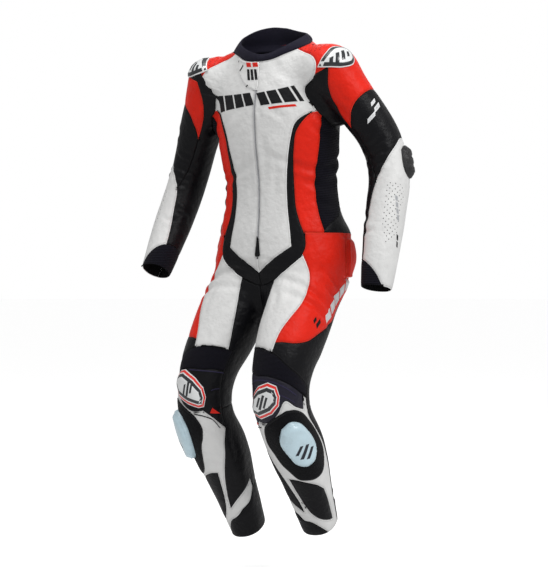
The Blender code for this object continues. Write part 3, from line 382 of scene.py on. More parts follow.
# metres of cloth to each degree round a chart
TRUNK_SCALE, NECK_SCALE, ARM_SCALE, LEG_SCALE = 0.0027, 0.0015, 0.00096, 0.00148


def wall_along(origins, rays):
    """Where each ray first leaves the form."""
    distance = np.full(len(origins), FIRST_STEP)
    before = distance.copy()
    going = np.arange(len(origins))
    for _ in range(200):
        gap = form(origins[going] + rays[going] * distance[going, None])
        going, gap = going[gap < 0], gap[gap < 0]
        if len(going) == 0:
            break
        before[going] = distance[going]
        distance[going] += np.maximum(-gap * 0.8, LEAST_STEP)
    for _ in range(9):
        middle = (before + distance) / 2
        within = form(origins + rays * middle[:, None]) < 0
        before, distance = np.where(within, middle, before), np.where(within, distance, middle)
    return origins + rays * ((before + distance) / 2)[:, None]


class TrunkChart:
    """Angle round the trunk (0 in front, 90 at the wearer's left) and height, fanned at the top."""

    def __init__(self, metres_a_degree):
        self.scale = np.array([metres_a_degree, 1])

    def rays(self, uv):
        angle, v = np.radians(uv[:, 0]), uv[:, 1]
        height = np.minimum(v, TOP)
        rise = np.maximum(v - TOP, 0) / FAN
        centre = hermite(TRUNK, height)[:, 0]
        origins = np.stack([0 * v, centre, height], axis=-1)
        flat = np.stack([np.sin(angle), -np.cos(angle), 0 * v], axis=-1)
        return origins, flat * np.cos(rise)[:, None] + np.array([0, 0, 1]) * np.sin(rise)[:, None]

    def find(self, points):
        height = np.minimum(points[:, 2], TOP)
        centre = hermite(TRUNK, height)[:, 0]
        x, y, z = points[:, 0], points[:, 1] - centre, points[:, 2] - height
        rise = np.arctan2(z, np.hypot(x, y))
        return np.stack([np.degrees(np.arctan2(x, -y)), height + rise * FAN], axis=-1)

    def place(self, uv):
        return wall_along(*self.rays(uv))


class TubeChart:
    """Angle round a limb (0 in front, 90 outside, -90 inside) and station down it."""

    def __init__(self, tube, metres_a_degree):
        self.tube = tube
        self.scale = np.array([metres_a_degree, 1])

    def rays(self, uv):
        angle = np.radians(uv[:, 0])[:, None]
        centre, _, ahead, across, _ = self.tube.at(uv[:, 1])
        mirror = np.array([self.tube.side, 1, 1])
        return centre * mirror, (across * np.sin(angle) + ahead * np.cos(angle)) * mirror

    def find(self, points):
        station, across, ahead, _ = self.tube.local(points)
        return np.stack([np.degrees(np.arctan2(across, ahead)), station], axis=-1)

    def place(self, uv):
        return wall_along(*self.rays(uv))


TRUNK_CHART = TrunkChart(TRUNK_SCALE)
NECK_CHART = TubeChart(NECK_TUBE, NECK_SCALE)
ARM_CHARTS = {name: TubeChart(ARMS[name], ARM_SCALE) for name in SIDES}
LEG_CHARTS = {name: TubeChart(LEGS[name], LEG_SCALE) for name in SIDES}
print("the zip's middle:", np.round(TRUNK_CHART.place(np.array([[0, -0.3]]))[0], 3))

# %% [markdown]
# ## Seams
# Each piece of the pattern is an outline on a chart, made of strokes that meet at corners. A
# stroke is a few rows of angle and station, and a smooth line is drawn through them. Pieces are
# laid in order, so that a later one covers an earlier one, and the first is whatever is left.
# The tables give the wearer's left, and the right side has them mirrored.

# %% Lines where charts meet
def path(text):
    """A line's rows from text: an angle in degrees and a station in mm, commas between rows."""
    return [(float(u), float(v + "e-3")) for u, v in map(str.split, text.split(","))]


def strokes(text):
    """An outline's strokes from text. After a bar the next one starts where the last one ends,
    after a semicolon it starts afresh, and a bar at the end leads straight back to the start."""
    made = []
    for chain in text.split(";"):
        for k, part in enumerate(chain.split("|")):
            rows = path(part) if part.strip() else made[0][:1]
            made.append([made[-1][-1], *rows] if k else rows)
    return made


ARMHOLE = path("-180 20, -165 36, -150 52, -138 78, -126 104, -112 122, -98 130, -84 124, "
               "-70 108, -60 76, -52 34, -46 0, -34 -14, 0 -16, 30 -14, 60 -24, 98 -26, "
               "130 -16, 160 2, 180 20")
COLLAR_BASE = path("-180 82, -130 86, -90 80, -60 62, -30 40, 0 34, 30 37, 60 55, 90 75, "
                   "130 83, 180 82")
COLLAR_RIM = path("-180 124, -150 130, -120 124, -90 107, -60 88, -30 67, -12 56, 0 50, 15 49, "
                  "30 53, 45 62, 60 73, 75 84, 90 93, 120 102, 150 111, 180 124")
HIP_LINE = strokes("0 -605, 9 -602, 20 -592, 35 -565, 50 -530 | 54 -502, 54 -467 | 80 -465, "
                   "110 -466, 145 -470, 180 -472")
CUFF_STATION = {"left": 0.618, "right": 0.590}
RIGHT_LIFT, RIGHT_STRETCH = 0.025, 0.034
CUP_TURN = {"left": 0, "right": -12}  # degrees round the arm
HEM_STATION = {"left": 0.760, "right": 0.787}
PELVIS = (0, 0.040, -0.500)  # the rise is drawn round this point
print("armhole rows:", len(ARMHOLE))

# %% Seams of the trunk
ZIP_HALF_ANGLE, ZIP_END = 1.0, -0.535
TRUNK_PIECES = {
    "lower_back": "-185 -300, -185 -800 | 185 -800 | 185 -350 | -185 -350",
    "back_stretch":
        "100 -332, 145 -318, 180 -312, 215 -318, 260 -332 | 260 -396 | 215 -392, 180 -390, "
        "145 -392, 100 -396 |",
    "side_stretch":
        "106 -80, 110 -180, 116 -250, 116 -340, 118 -420, 122 -500 | 20 -500 | 20 -80 |",
    "shoulder_yoke":
        "40 120, 40 -50 | 60 -128, 95 -128 ; 100 -60, 125 -88, 150 -104, 185 -110 | 185 120 |",
    "front_flash": "80 -100, 75 -160, 71 -250, 67 -345, 68 -406, 74 -490 | 0 -490 | 0 -100 |",
    "front_stripe":
        "80 -125, 62 -160, 50 -205, 47 -250, 46 -340, 47 -404, 50 -440, 54 -475, 57 -620 | "
        "0 -700 | 0 -125 |",
    "front":
        "57 80, 58 20, 62 -8, 62 -50, 62 -90, 66 -130, 72 -148 | 60 -158, 50 -180, 45 -215, "
        "42 -250, 38 -330, 38 -404, 40 -463, 41 -502 | 0 -572 | 0 80 |",
    "sleeve_inner":
        "104 -196, 86 -182, 77 -165, 71 -150, 67 -132, 62 -108, 61 -88, 66 -72, 100 -60 |",
    "hip_gusset": "66 -500, 74 -452, 90 -422, 108 -392 | 116 -430, 122 -500 |",
}
SINGLE = ("lower_back", "back_stretch")  # the others are made for each side
print("trunk pieces:", list(TRUNK_PIECES))

# %% Seams of the sleeves
SLEEVE_PIECES = {
    "sleeve_elbow":
        "-38 140, -34 200, -26 280, -12 345 | 60 400, 152 400 | 150 60 | 40 50, -38 140",
    "sleeve_cap":
        "34 -60, 12 -10, -14 28, -30 65, -38 105, -38 149 | -20 128, -5 114, 20 100, 52 95, "
        "98 98, 135 104 | 160 85, 172 40, 178 -20, 170 -60 |",
    "sleeve_forearm":
        "-46 700, -46 560, -42 500, -30 420, -14 345, 5 308, 37 268, 60 250, 95 234, 125 236, "
        "150 262 | 156 400, 154 700 |",
}
# the cuff's top edge, whose stations count from the sleeve's end
CUFF_TOP = path("62 10, 43 -6, 20 -30, -10 -52, -40 -66, -90 -72, -140 -68, -180 -50, -206 10")
print("sleeve pieces:", list(SLEEVE_PIECES))

# %% Seams of the legs
LEG_PIECES = {
    "calf": "-100 395, 280 395 | 280 900 | -100 900 |",
    "ankle": "-245 662, -180 652, -90 660, 0 690, 75 690 | 75 900 | -245 900 |",
    "thigh_rear": "5 -300, 5 390 | 226 395 | 228 200, 222 50, 210 -20, 190 -300 |",
    "thigh_outer":
        "5 249, 20 246, 45 240, 66 222, 85 185, 108 135, 125 90, 135 0, 138 -80, 138 -250 | "
        "5 -250 |",
    "thigh_front":
        "4 -60, 10 -20, 19 6, 34 45, 38 90, 35 135, 25 180, 15 222, 8 266 | -15 259, -35 253, "
        "-56 246 | -48 205, -37 135, -30 90, -26 60, -24 -60 |",
    "knee_panel": "-64 280, -70 360, -73 450 | -40 460, 60 450 | 82 420, 82 330 |",
    "knee_stretch":
        "-66 243, -35 252, -15 258, 9 268, 40 288, 78 308, 98 322 | 100 353 | 74 338, 53 324.6, "
        "29 315, 0 309, -22 308, -39 303, -68 299 |",
    "shin":
        "-30 393, -50 415, -72 448 | -58 480, -48 520, -34 565, -20 612, -8 655, -2 684 | "
        "-30 668, -60 650, -96 628 | -100 655 | -74 684, -40 700, -10 712, 12 716, 38 735, "
        "60 765, 66 860 | 116 860 | 120 700, 124 600, 120 520, 110 450, 100 410, 96 351 | "
        "86 348 | 83 381 | 60 368, 38 353, 22 375, -5 393, -30 393",
    "shin_insert":
        "-12 570, 10 571, 36 581, 60 598, 80 625 | 88 680, 90 732 | 62 720, 41 706.5, 22 686, "
        "7 656, -4 612, -12 570",
}
print("leg pieces:", list(LEG_PIECES))

# %% [markdown]
# ## Cutting the cloth
# On a chart the cloth is flat, so it is cut there: a constrained triangulation keeps every seam
# as a row of edges, and fills the rest with even triangles a few millimetres wide. Creases need
# triangles that small. Where two charts meet they share one line of points, so that the pieces
# can be welded into one skin without a gap.

# %% Smooth strokes and outlines
CLOTH_EDGE = 0.006
NEAR = 0.0004  # corners closer than this are one


def smooth(rows, chart, edge=CLOTH_EDGE):
    """Points every edge or less along a smooth line through the rows."""
    rows = np.array(rows, float)
    steps = np.linalg.norm(np.diff(rows * chart.scale, axis=0), axis=1)
    share = np.concatenate([[0], np.cumsum(steps)])
    count = max(1, math.ceil(share[-1] / edge))
    if len(rows) == 2:
        return rows[0] + (rows[1] - rows[0]) * np.linspace(0, 1, count + 1)[:, None]
    return hermite(np.column_stack([share, rows]), np.linspace(0, share[-1], count + 1))


def outline(strokes, chart, edge=CLOTH_EDGE, mirror=1):
    """A closed outline of strokes, without its last point."""
    parts = [smooth(rows, chart, edge)[:-1] for rows in strokes]
    return np.concatenate(parts) * np.array([mirror, 1])


def corners_to_line(corners, chart, edge=CLOTH_EDGE):
    """A closed outline with sharp corners."""
    return outline([[a, b] for a, b in zip(corners, corners[1:] + corners[:1])], chart, edge)


def eased(values, low, high):
    share = np.clip((values - low) / (high - low), 0, 1)
    return share * share * (3 - 2 * share)


def lifted(line, kind, side):
    """A seam on the right, moved with the cloth: its shoulder sits higher, its shin is longer."""
    u, v = line[:, 0], line[:, 1]
    if side == "right" and kind == "leg":
        share = np.clip((v - 0.60) / 0.16, 0, 1) * (1 + np.cos(np.radians(u - 90))) / 2
        return line + np.column_stack([0 * v, RIGHT_STRETCH * share])
    if side != "right" or kind not in ("trunk", "arm"):
        return line
    if kind == "arm":
        by = eased(v, 0.10, 0.165) - 1
    else:
        by = eased(-u, 45, 60) * (1 - eased(-u, 95, 150)) * eased(v, -0.24, -0.15)
        by = by * (1 - eased(v, -0.075, 0.0))
    return line + np.column_stack([0 * v, by * RIGHT_LIFT])


def inside(polygon, points):
    """Which points lie in the polygon."""
    result = np.zeros(len(points), bool)
    low, high = polygon.min(0), polygon.max(0)
    near = np.flatnonzero(((points >= low) & (points <= high)).all(1))
    p = points[near]
    hit = np.zeros(len(p), bool)
    for a, b in zip(polygon, np.roll(polygon, -1, axis=0)):
        spans = (a[1] > p[:, 1]) != (b[1] > p[:, 1])
        rise = b[1] - a[1] if b[1] != a[1] else 1.0
        hit ^= spans & (p[:, 0] < a[0] + (p[:, 1] - a[1]) / rise * (b[0] - a[0]))
    result[near] = hit
    return result


def near_segments(points, starts, ends):
    """For each point, its distance to the nearest segment, that segment and the share along it."""
    best = np.full(len(points), 1e9)
    which = np.zeros(len(points), int)
    share = np.zeros(len(points))
    for k, (a, b) in enumerate(zip(starts, ends)):
        d = b - a
        t = np.clip((points - a) @ d / max(d @ d, 1e-18), 0, 1)
        gap = np.hypot(*(points - a - t[:, None] * d).T)
        closer = gap < best
        best[closer], which[closer], share[closer] = gap[closer], k, t[closer]
    return best, which, share


def dotted(starts, ends, pitch):
    """Points along the segments, no farther apart than the pitch."""
    longest = np.linalg.norm(ends - starts, axis=1).max()
    count = max(1, math.ceil(longest / pitch))
    shares = np.arange(count) / count
    return (starts[:, None] + (ends - starts)[:, None] * shares[None, :, None]).reshape(-1, 2)


def clear_of(points, starts, ends, reach):
    """Which points lie farther than the reach from all segments."""
    dots = dotted(starts, ends, reach / 3)
    tree = KDTree(len(dots))
    for k, dot in enumerate(dots):
        tree.insert((*dot, 0), k)
    tree.balance()
    return np.array([tree.find((*p, 0))[2] > reach for p in points], bool)


print("points on the V's edge:", len(smooth(strokes(TRUNK_PIECES["front"])[2], TRUNK_CHART)))


# %% Lines that charts share
class Curve:
    """A line in space where charts meet. Both use its points, and share any that one adds."""

    def __init__(self, points):
        self.points = np.array(points)
        self.added = set()

    def params(self):
        return np.array(sorted(self.added | set(range(len(self.points)))), float)

    def at(self, t, values=None):
        values = self.points if values is None else values
        low = np.clip(np.floor(t).astype(int), 0, len(values) - 2)
        return values[low] + (values[low + 1] - values[low]) * (t - low)[:, None]


class Side:
    """One edge of a chart's domain: a curve, its chart coordinates and the way it runs."""

    def __init__(self, curve, uv, forward=True):
        self.curve, self.base, self.forward = curve, uv, forward

    def line(self):
        t = self.curve.params()
        t = t if self.forward else t[::-1]
        return t, self.curve.at(t, self.base)


def unwrap(uv, hint):
    """The same angles, each within half a turn of the one before, the first near the hint."""
    uv = uv.copy()
    for row in uv:
        row[0] += 360 * round((hint - row[0]) / 360)
        hint = row[0]
    return uv


def flat_cloth(chart, rims, outlines, edge, filled=True):
    """Flat triangles that keep to the rims, the outer one first, and to the outlines."""
    rims = [line * chart.scale for line in rims]
    lines = rims + [line * chart.scale for line in outlines]
    points = np.concatenate(lines)
    edges, first = [], 0
    for line in lines:
        edges += [(first + k, first + (k + 1) % len(line)) for k in range(len(line))]
        first += len(line)
    if filled:
        starts, ends = points[[a for a, _ in edges]], points[[b for _, b in edges]]
        low, high = rims[0].min(0), rims[0].max(0)
        rows = []
        for row, y in enumerate(np.arange(low[1], high[1], edge * math.sqrt(3) / 2)):
            x = np.arange(low[0] + edge / 2 * (row % 2), high[0], edge)
            rows.append(np.column_stack([x, np.full(len(x), y)]))
        grid = np.concatenate(rows)
        grid = grid[inside(rims[0], grid)]
        grid = grid[clear_of(grid, starts, ends, 0.55 * edge)]
        points = np.concatenate([points, grid])
    flat = [Vector(p) for p in points]
    verts, _, faces, *_ = delaunay_2d_cdt(flat, edges, [], 0, NEAR, False)
    verts, faces = np.array([tuple(v) for v in verts]), np.array(faces)
    middles = verts[faces].mean(1)
    keep = inside(rims[0], middles)
    for hole in rims[1:]:
        keep &= ~inside(hole, middles)
    used, flat = np.unique(faces[keep], return_inverse=True)
    return verts[used] / chart.scale, flat.reshape(-1, 3)


def on_sides(chart, loops, uv):
    """For each side: which of the chart's points lie on it, and where along its curve."""
    found = []
    for side in [side for loop in loops for side in loop]:
        t, line = side.line()
        line = line * chart.scale
        gap, which, share = near_segments(uv * chart.scale, line[:-1], line[1:])
        on = gap < 2 * NEAR
        at = t[which[on]] + (t[which[on] + 1] - t[which[on]]) * share[on]
        snapped = np.abs(at[:, None] - t[None])
        near, exact = snapped.argmin(1), snapped.min(1) < 0.02
        side.curve.added |= {float(v) for v in at[~exact]}
        at[exact] = t[near[exact]]
        found.append((side.curve, on, at))
    return found


print("shared lines are ready")

# %% [markdown]
# ## Domains
# The trunk's chart ends at the hip line, the armholes and the collar's base. Each leg's chart
# starts at the hip line and at the rise, the seam that runs between the legs. The right half of
# each closed line is the left one's mirror, so both sides get the same seams.

# %% Domains of the charts
PERIOD = np.array([360, 0])
# about how long the lines are that charts share, for the number of points on each
COLLAR_ROUND, COLLAR_DEEP, BACK_LONG = 0.62, 0.045, 0.52
ARMHOLE_ROUND, CUFF_ROUND, HEM_ROUND, RISE_LONG = 0.62, 0.26, 0.34, 0.24


def count(length):
    return max(2, math.ceil(length / CLOTH_EDGE)) + 1


def whole_turn(rows, number):
    angles = np.linspace(-180, 180, number)
    return np.column_stack([angles, hermite(rows, angles)[:, 0]])


def rise_lines(hip, leg):
    """The seam between the legs: from the front down to the crotch, and from the back down."""
    centre = np.array(PELVIS)

    def at(angles):
        angles = np.radians(angles)
        rays = np.stack([0 * angles, -np.cos(angles), -np.sin(angles)], axis=-1)
        return wall_along(np.tile(centre, (len(angles), 1)), rays)

    ways = hip.points[[0, -1]] - centre
    ends = [math.degrees(math.atan2(-z, -y)) for _, y, z in ways]
    ends[1] %= 360
    fine = np.linspace(*ends, 400)
    turn = unwrap(leg.find(at(fine)), -30)[:, 0]
    low = float(fine[np.abs(turn + 90).argmin()])
    front, back = (Curve(at(np.linspace(end, low, count(RISE_LONG)))) for end in ends)
    front.points[0], back.points[0] = hip.points[0], hip.points[-1]
    back.points[-1] = front.points[-1]
    return front, back


def leg_loop(name, hip, hip_uv, rise):
    chart, (front, back) = LEG_CHARTS[name], rise
    front_uv = unwrap(chart.find(front.points), -30)
    front_uv[-1, 0] = -90
    hip_leg = unwrap(chart.find(hip.points), front_uv[0, 0])
    back_uv = unwrap(chart.find(back.points), hip_leg[-1, 0])
    back_uv[-1, 0] = 270
    end = HEM_STATION[name]
    hem_uv = whole_turn([(-180, end), (0, end), (180, end)], count(HEM_ROUND)) + np.array([90, 0])
    seam_uv = np.linspace([-90, front_uv[-1, 1]], [-90, end], count(end))
    seam, hem = Curve(chart.place(seam_uv)), Curve(chart.place(hem_uv))
    seam.points[0], seam.points[-1] = front.points[-1], hem.points[0]
    hem.points[-1] = hem.points[0]
    return [
        Side(hip, hip_leg, forward=False),
        Side(front, front_uv),
        Side(seam, seam_uv),
        Side(hem, hem_uv),
        Side(seam, seam_uv + PERIOD, forward=False),
        Side(back, back_uv, forward=False),
    ]


def arm_loops(name):
    """The sleeve's loop, and the armhole that it leaves in the trunk's chart."""
    chart, end = ARM_CHARTS[name], CUFF_STATION[name]
    hole_uv = whole_turn(ARMHOLE, count(ARMHOLE_ROUND))
    cuff_uv = whole_turn([(-180, end), (0, end), (180, end)], count(CUFF_ROUND))
    cut_uv = np.linspace(hole_uv[-1], cuff_uv[-1], count(end))
    hole, cut, cuff = (Curve(chart.place(uv)) for uv in (hole_uv, cut_uv, cuff_uv))
    cut.points[0], cut.points[-1] = hole.points[-1], cuff.points[-1]
    loop = [
        Side(hole, hole_uv, forward=False),
        Side(cut, cut_uv - PERIOD),
        Side(cuff, cuff_uv),
        Side(cut, cut_uv, forward=False),
    ]
    trunk_uv = unwrap(TRUNK_CHART.find(hole.points), SIDES[name] * 100)
    return loop, [Side(hole, trunk_uv)]


def all_domains():
    """For each chart: its kind, the side it is on, the chart and its loops, the outer one first."""
    trunk, neck, flip = TRUNK_CHART, NECK_CHART, np.array([-1, 1])
    base_uv = whole_turn(COLLAR_BASE, count(COLLAR_ROUND))
    rim_uv = whole_turn(COLLAR_RIM, count(COLLAR_ROUND))
    cut_uv = np.linspace(base_uv[-1], rim_uv[-1], count(COLLAR_DEEP))
    base, rim, cut = (Curve(neck.place(uv)) for uv in (base_uv, rim_uv, cut_uv))
    hip_uv = np.concatenate([smooth(rows, trunk) for rows in HIP_LINE])
    hip_uv = hip_uv[np.r_[True, np.abs(np.diff(hip_uv, axis=0)).sum(1) > 1e-9]]
    hips = {n: Curve(trunk.place(hip_uv * np.array([s, 1]))) for n, s in SIDES.items()}
    top = unwrap(trunk.find(base.points), -180)
    top[0, 0], top[-1, 0] = -180, 180
    back_uv = np.linspace([180, hip_uv[-1, 1]], [180, top[-1, 1]], count(BACK_LONG))
    back = Curve(trunk.place(back_uv))
    back.points[-1] = base.points[-1]
    body = [
        Side(hips["right"], hip_uv * flip, forward=False),
        Side(hips["left"], hip_uv),
        Side(back, back_uv),
        Side(base, top, forward=False),
        Side(back, back_uv * flip, forward=False),
    ]
    collar = [
        Side(base, base_uv),
        Side(cut, cut_uv),
        Side(rim, rim_uv, forward=False),
        Side(cut, cut_uv - PERIOD, forward=False),
    ]
    rise = rise_lines(hips["left"], LEG_CHARTS["left"])
    sleeves = {name: arm_loops(name) for name in SIDES}
    found = [("trunk", "", trunk, [body, *(hole for _, hole in sleeves.values())])]
    found.append(("neck", "", neck, [collar]))
    for name in SIDES:
        found.append(("arm", name, ARM_CHARTS[name], [sleeves[name][0]]))
        found.append(("leg", name, LEG_CHARTS[name], [leg_loop(name, hips[name], hip_uv, rise)]))
    return found


domains = all_domains()
print("charts:", [kind + "_" + name if name else kind for kind, name, _, _ in domains])


# %% Pieces on each chart
ABOVE_ZIP, PAST_CUFF = 0.1, 0.05  # outlines go on past the cloth's own edges


def pieces_on(kind, name, chart):
    """The name under everything else, and the outlines laid on it: name, line."""
    if kind == "neck":
        return "collar", []
    if kind == "trunk":
        laid = [(piece if piece in SINGLE else f"{piece}_{side}",
                 lifted(outline(strokes(text), chart, mirror=sign), kind, side))
                for piece, text in TRUNK_PIECES.items()
                for side, sign in SIDES.items() if sign > 0 or piece not in SINGLE]
        sides, ends = (ZIP_HALF_ANGLE, -ZIP_HALF_ANGLE), (ABOVE_ZIP, ZIP_END)
        box = [(sides[0], ends[0]), (sides[0], ends[1]), (sides[1], ends[1]), (sides[1], ends[0])]
        return "back_panel", [*laid, ("zip", corners_to_line(box, chart))]
    under, table = (("sleeve_inner", SLEEVE_PIECES) if kind == "arm" else ("leg_inner", LEG_PIECES))
    pieces = {piece: strokes(text) for piece, text in table.items()}
    if kind == "arm":
        cuff = [(u, v + CUFF_STATION[name]) for u, v in CUFF_TOP]
        ends = [(cuff[k][0], CUFF_STATION[name] + PAST_CUFF) for k in (-1, 0)]
        pieces["sleeve_cuff"] = [cuff, [cuff[-1], ends[0]], ends, [ends[1], cuff[0]]]
    return f"{under}_{name}", [(f"{piece}_{name}", lifted(outline(rows, chart), kind, name))
                               for piece, rows in pieces.items()]


def cut_chart(kind, name, chart, loops, filled):
    """A chart's flat points and triangles, the triangles' names, and the points on its sides."""
    first, laid = pieces_on(kind, name, chart)
    turns = [turn * PERIOD for turn in (-1, 0, 1)]
    low = min(side.base[:, 0].min() for side in loops[0]) - 1
    high = max(side.base[:, 0].max() for side in loops[0]) + 1
    copies = [line + turn for _, line in laid for turn in turns]
    copies = [c for c in copies if c[:, 0].max() > low and c[:, 0].min() < high]
    rims = [np.concatenate([side.line()[1][:-1] for side in loop]) for loop in loops]
    uv, faces = flat_cloth(chart, rims, copies, CLOTH_EDGE, filled)
    middles = uv[faces].mean(1)
    labels = np.full(len(faces), first, dtype=object)
    for piece, line in laid:
        labels[np.any([inside(line, middles + turn) for turn in turns], axis=0)] = piece
    return uv, faces, labels, on_sides(chart, loops, uv)


for attempt in range(4):
    shared = [len(side.curve.added) for *_, loops in domains for loop in loops for side in loop]
    for domain in domains:
        cut_chart(*domain, filled=False)
    now = [len(side.curve.added) for *_, loops in domains for loop in loops for side in loop]
    if shared == now:
        break
print("points that seams add to shared lines:", sum(now), "after", attempt + 1, "rounds")


# %% One skin
def weld(domains):
    """All charts as one surface: points, faces, names, each corner's cloth coordinates, charts."""
    mesh = bmesh.new()
    cloth = mesh.loops.layers.uv.new("cloth")
    mark = mesh.faces.layers.int.new("row")
    names, homes = [], []
    for kind, name, chart, loops in domains:
        uv, faces, labels, sides = cut_chart(kind, name, chart, loops, filled=True)
        places = chart.place(uv)
        for curve, on, at in sides:
            places[on] = curve.at(at)
        origins, rays = chart.rays(uv[faces].mean(1))
        corners = places[faces]
        across = np.cross(corners[:, 1] - corners[:, 0], corners[:, 2] - corners[:, 0])
        turned = (across * rays).sum(1) < 0
        faces[turned] = faces[turned][:, ::-1]
        verts = [mesh.verts.new(p) for p in places]
        flat = uv * chart.scale
        for face, label in zip(faces, labels):
            new = mesh.faces.new([verts[k] for k in face])
            new[mark] = len(names)
            names.append(label)
            homes.append((kind, name))
            for loop, k in zip(new.loops, face):
                loop[cloth].uv = flat[k]
    bmesh.ops.remove_doubles(mesh, verts=mesh.verts, dist=5e-5)
    mesh.verts.index_update()
    points = np.array([v.co[:] for v in mesh.verts])
    faces = np.array([[v.index for v in face.verts] for face in mesh.faces])
    rows = [face[mark] for face in mesh.faces]
    flat = np.array([[loop[cloth].uv[:] for loop in face.loops] for face in mesh.faces])
    rims = sum(edge.is_boundary for edge in mesh.edges)
    odd = sum(not edge.is_manifold and not edge.is_boundary for edge in mesh.edges)
    mesh.free()
    print("skin points:", len(points), "faces:", len(faces), "open edges:", rims, "odd:", odd)
    return points, faces, [names[r] for r in rows], flat, [homes[r] for r in rows]


def give_scraps(faces, names):
    """Each piece's largest patch keeps its name. A scrap joins the neighbour it meets most."""
    names = list(names)
    edges = {}
    for k, face in enumerate(faces):
        for a, b in zip(face, np.roll(face, -1)):
            edges.setdefault((min(a, b), max(a, b)), []).append(k)
    meets = [[] for _ in faces]
    for pair in edges.values():
        for k in pair:
            meets[k] += [other for other in pair if other != k]
    for _ in range(3):
        patches, seen = {}, set()
        for start in range(len(faces)):
            if start in seen:
                continue
            patch, queue = [], [start]
            seen.add(start)
            while queue:
                k = queue.pop()
                patch.append(k)
                fresh = [o for o in meets[k] if o not in seen and names[o] == names[start]]
                seen.update(fresh)
                queue += fresh
            patches.setdefault(names[start], []).append(patch)
        scraps = [p for found in patches.values() for p in sorted(found, key=len)[:-1]]
        if not scraps:
            break
        for patch in scraps:
            own = names[patch[0]]
            others = [names[o] for k in patch for o in meets[k] if names[o] != own]
            if others:
                best = max(sorted(set(others)), key=others.count)
                for k in patch:
                    names[k] = best
    return names


skin_points, skin_faces, skin_names, skin_cloth, skin_homes = weld(domains)
skin_names = np.array(give_scraps(skin_faces, skin_names))
skin_normals = out_of(skin_points)
print("pieces cut:", len(set(skin_names)))
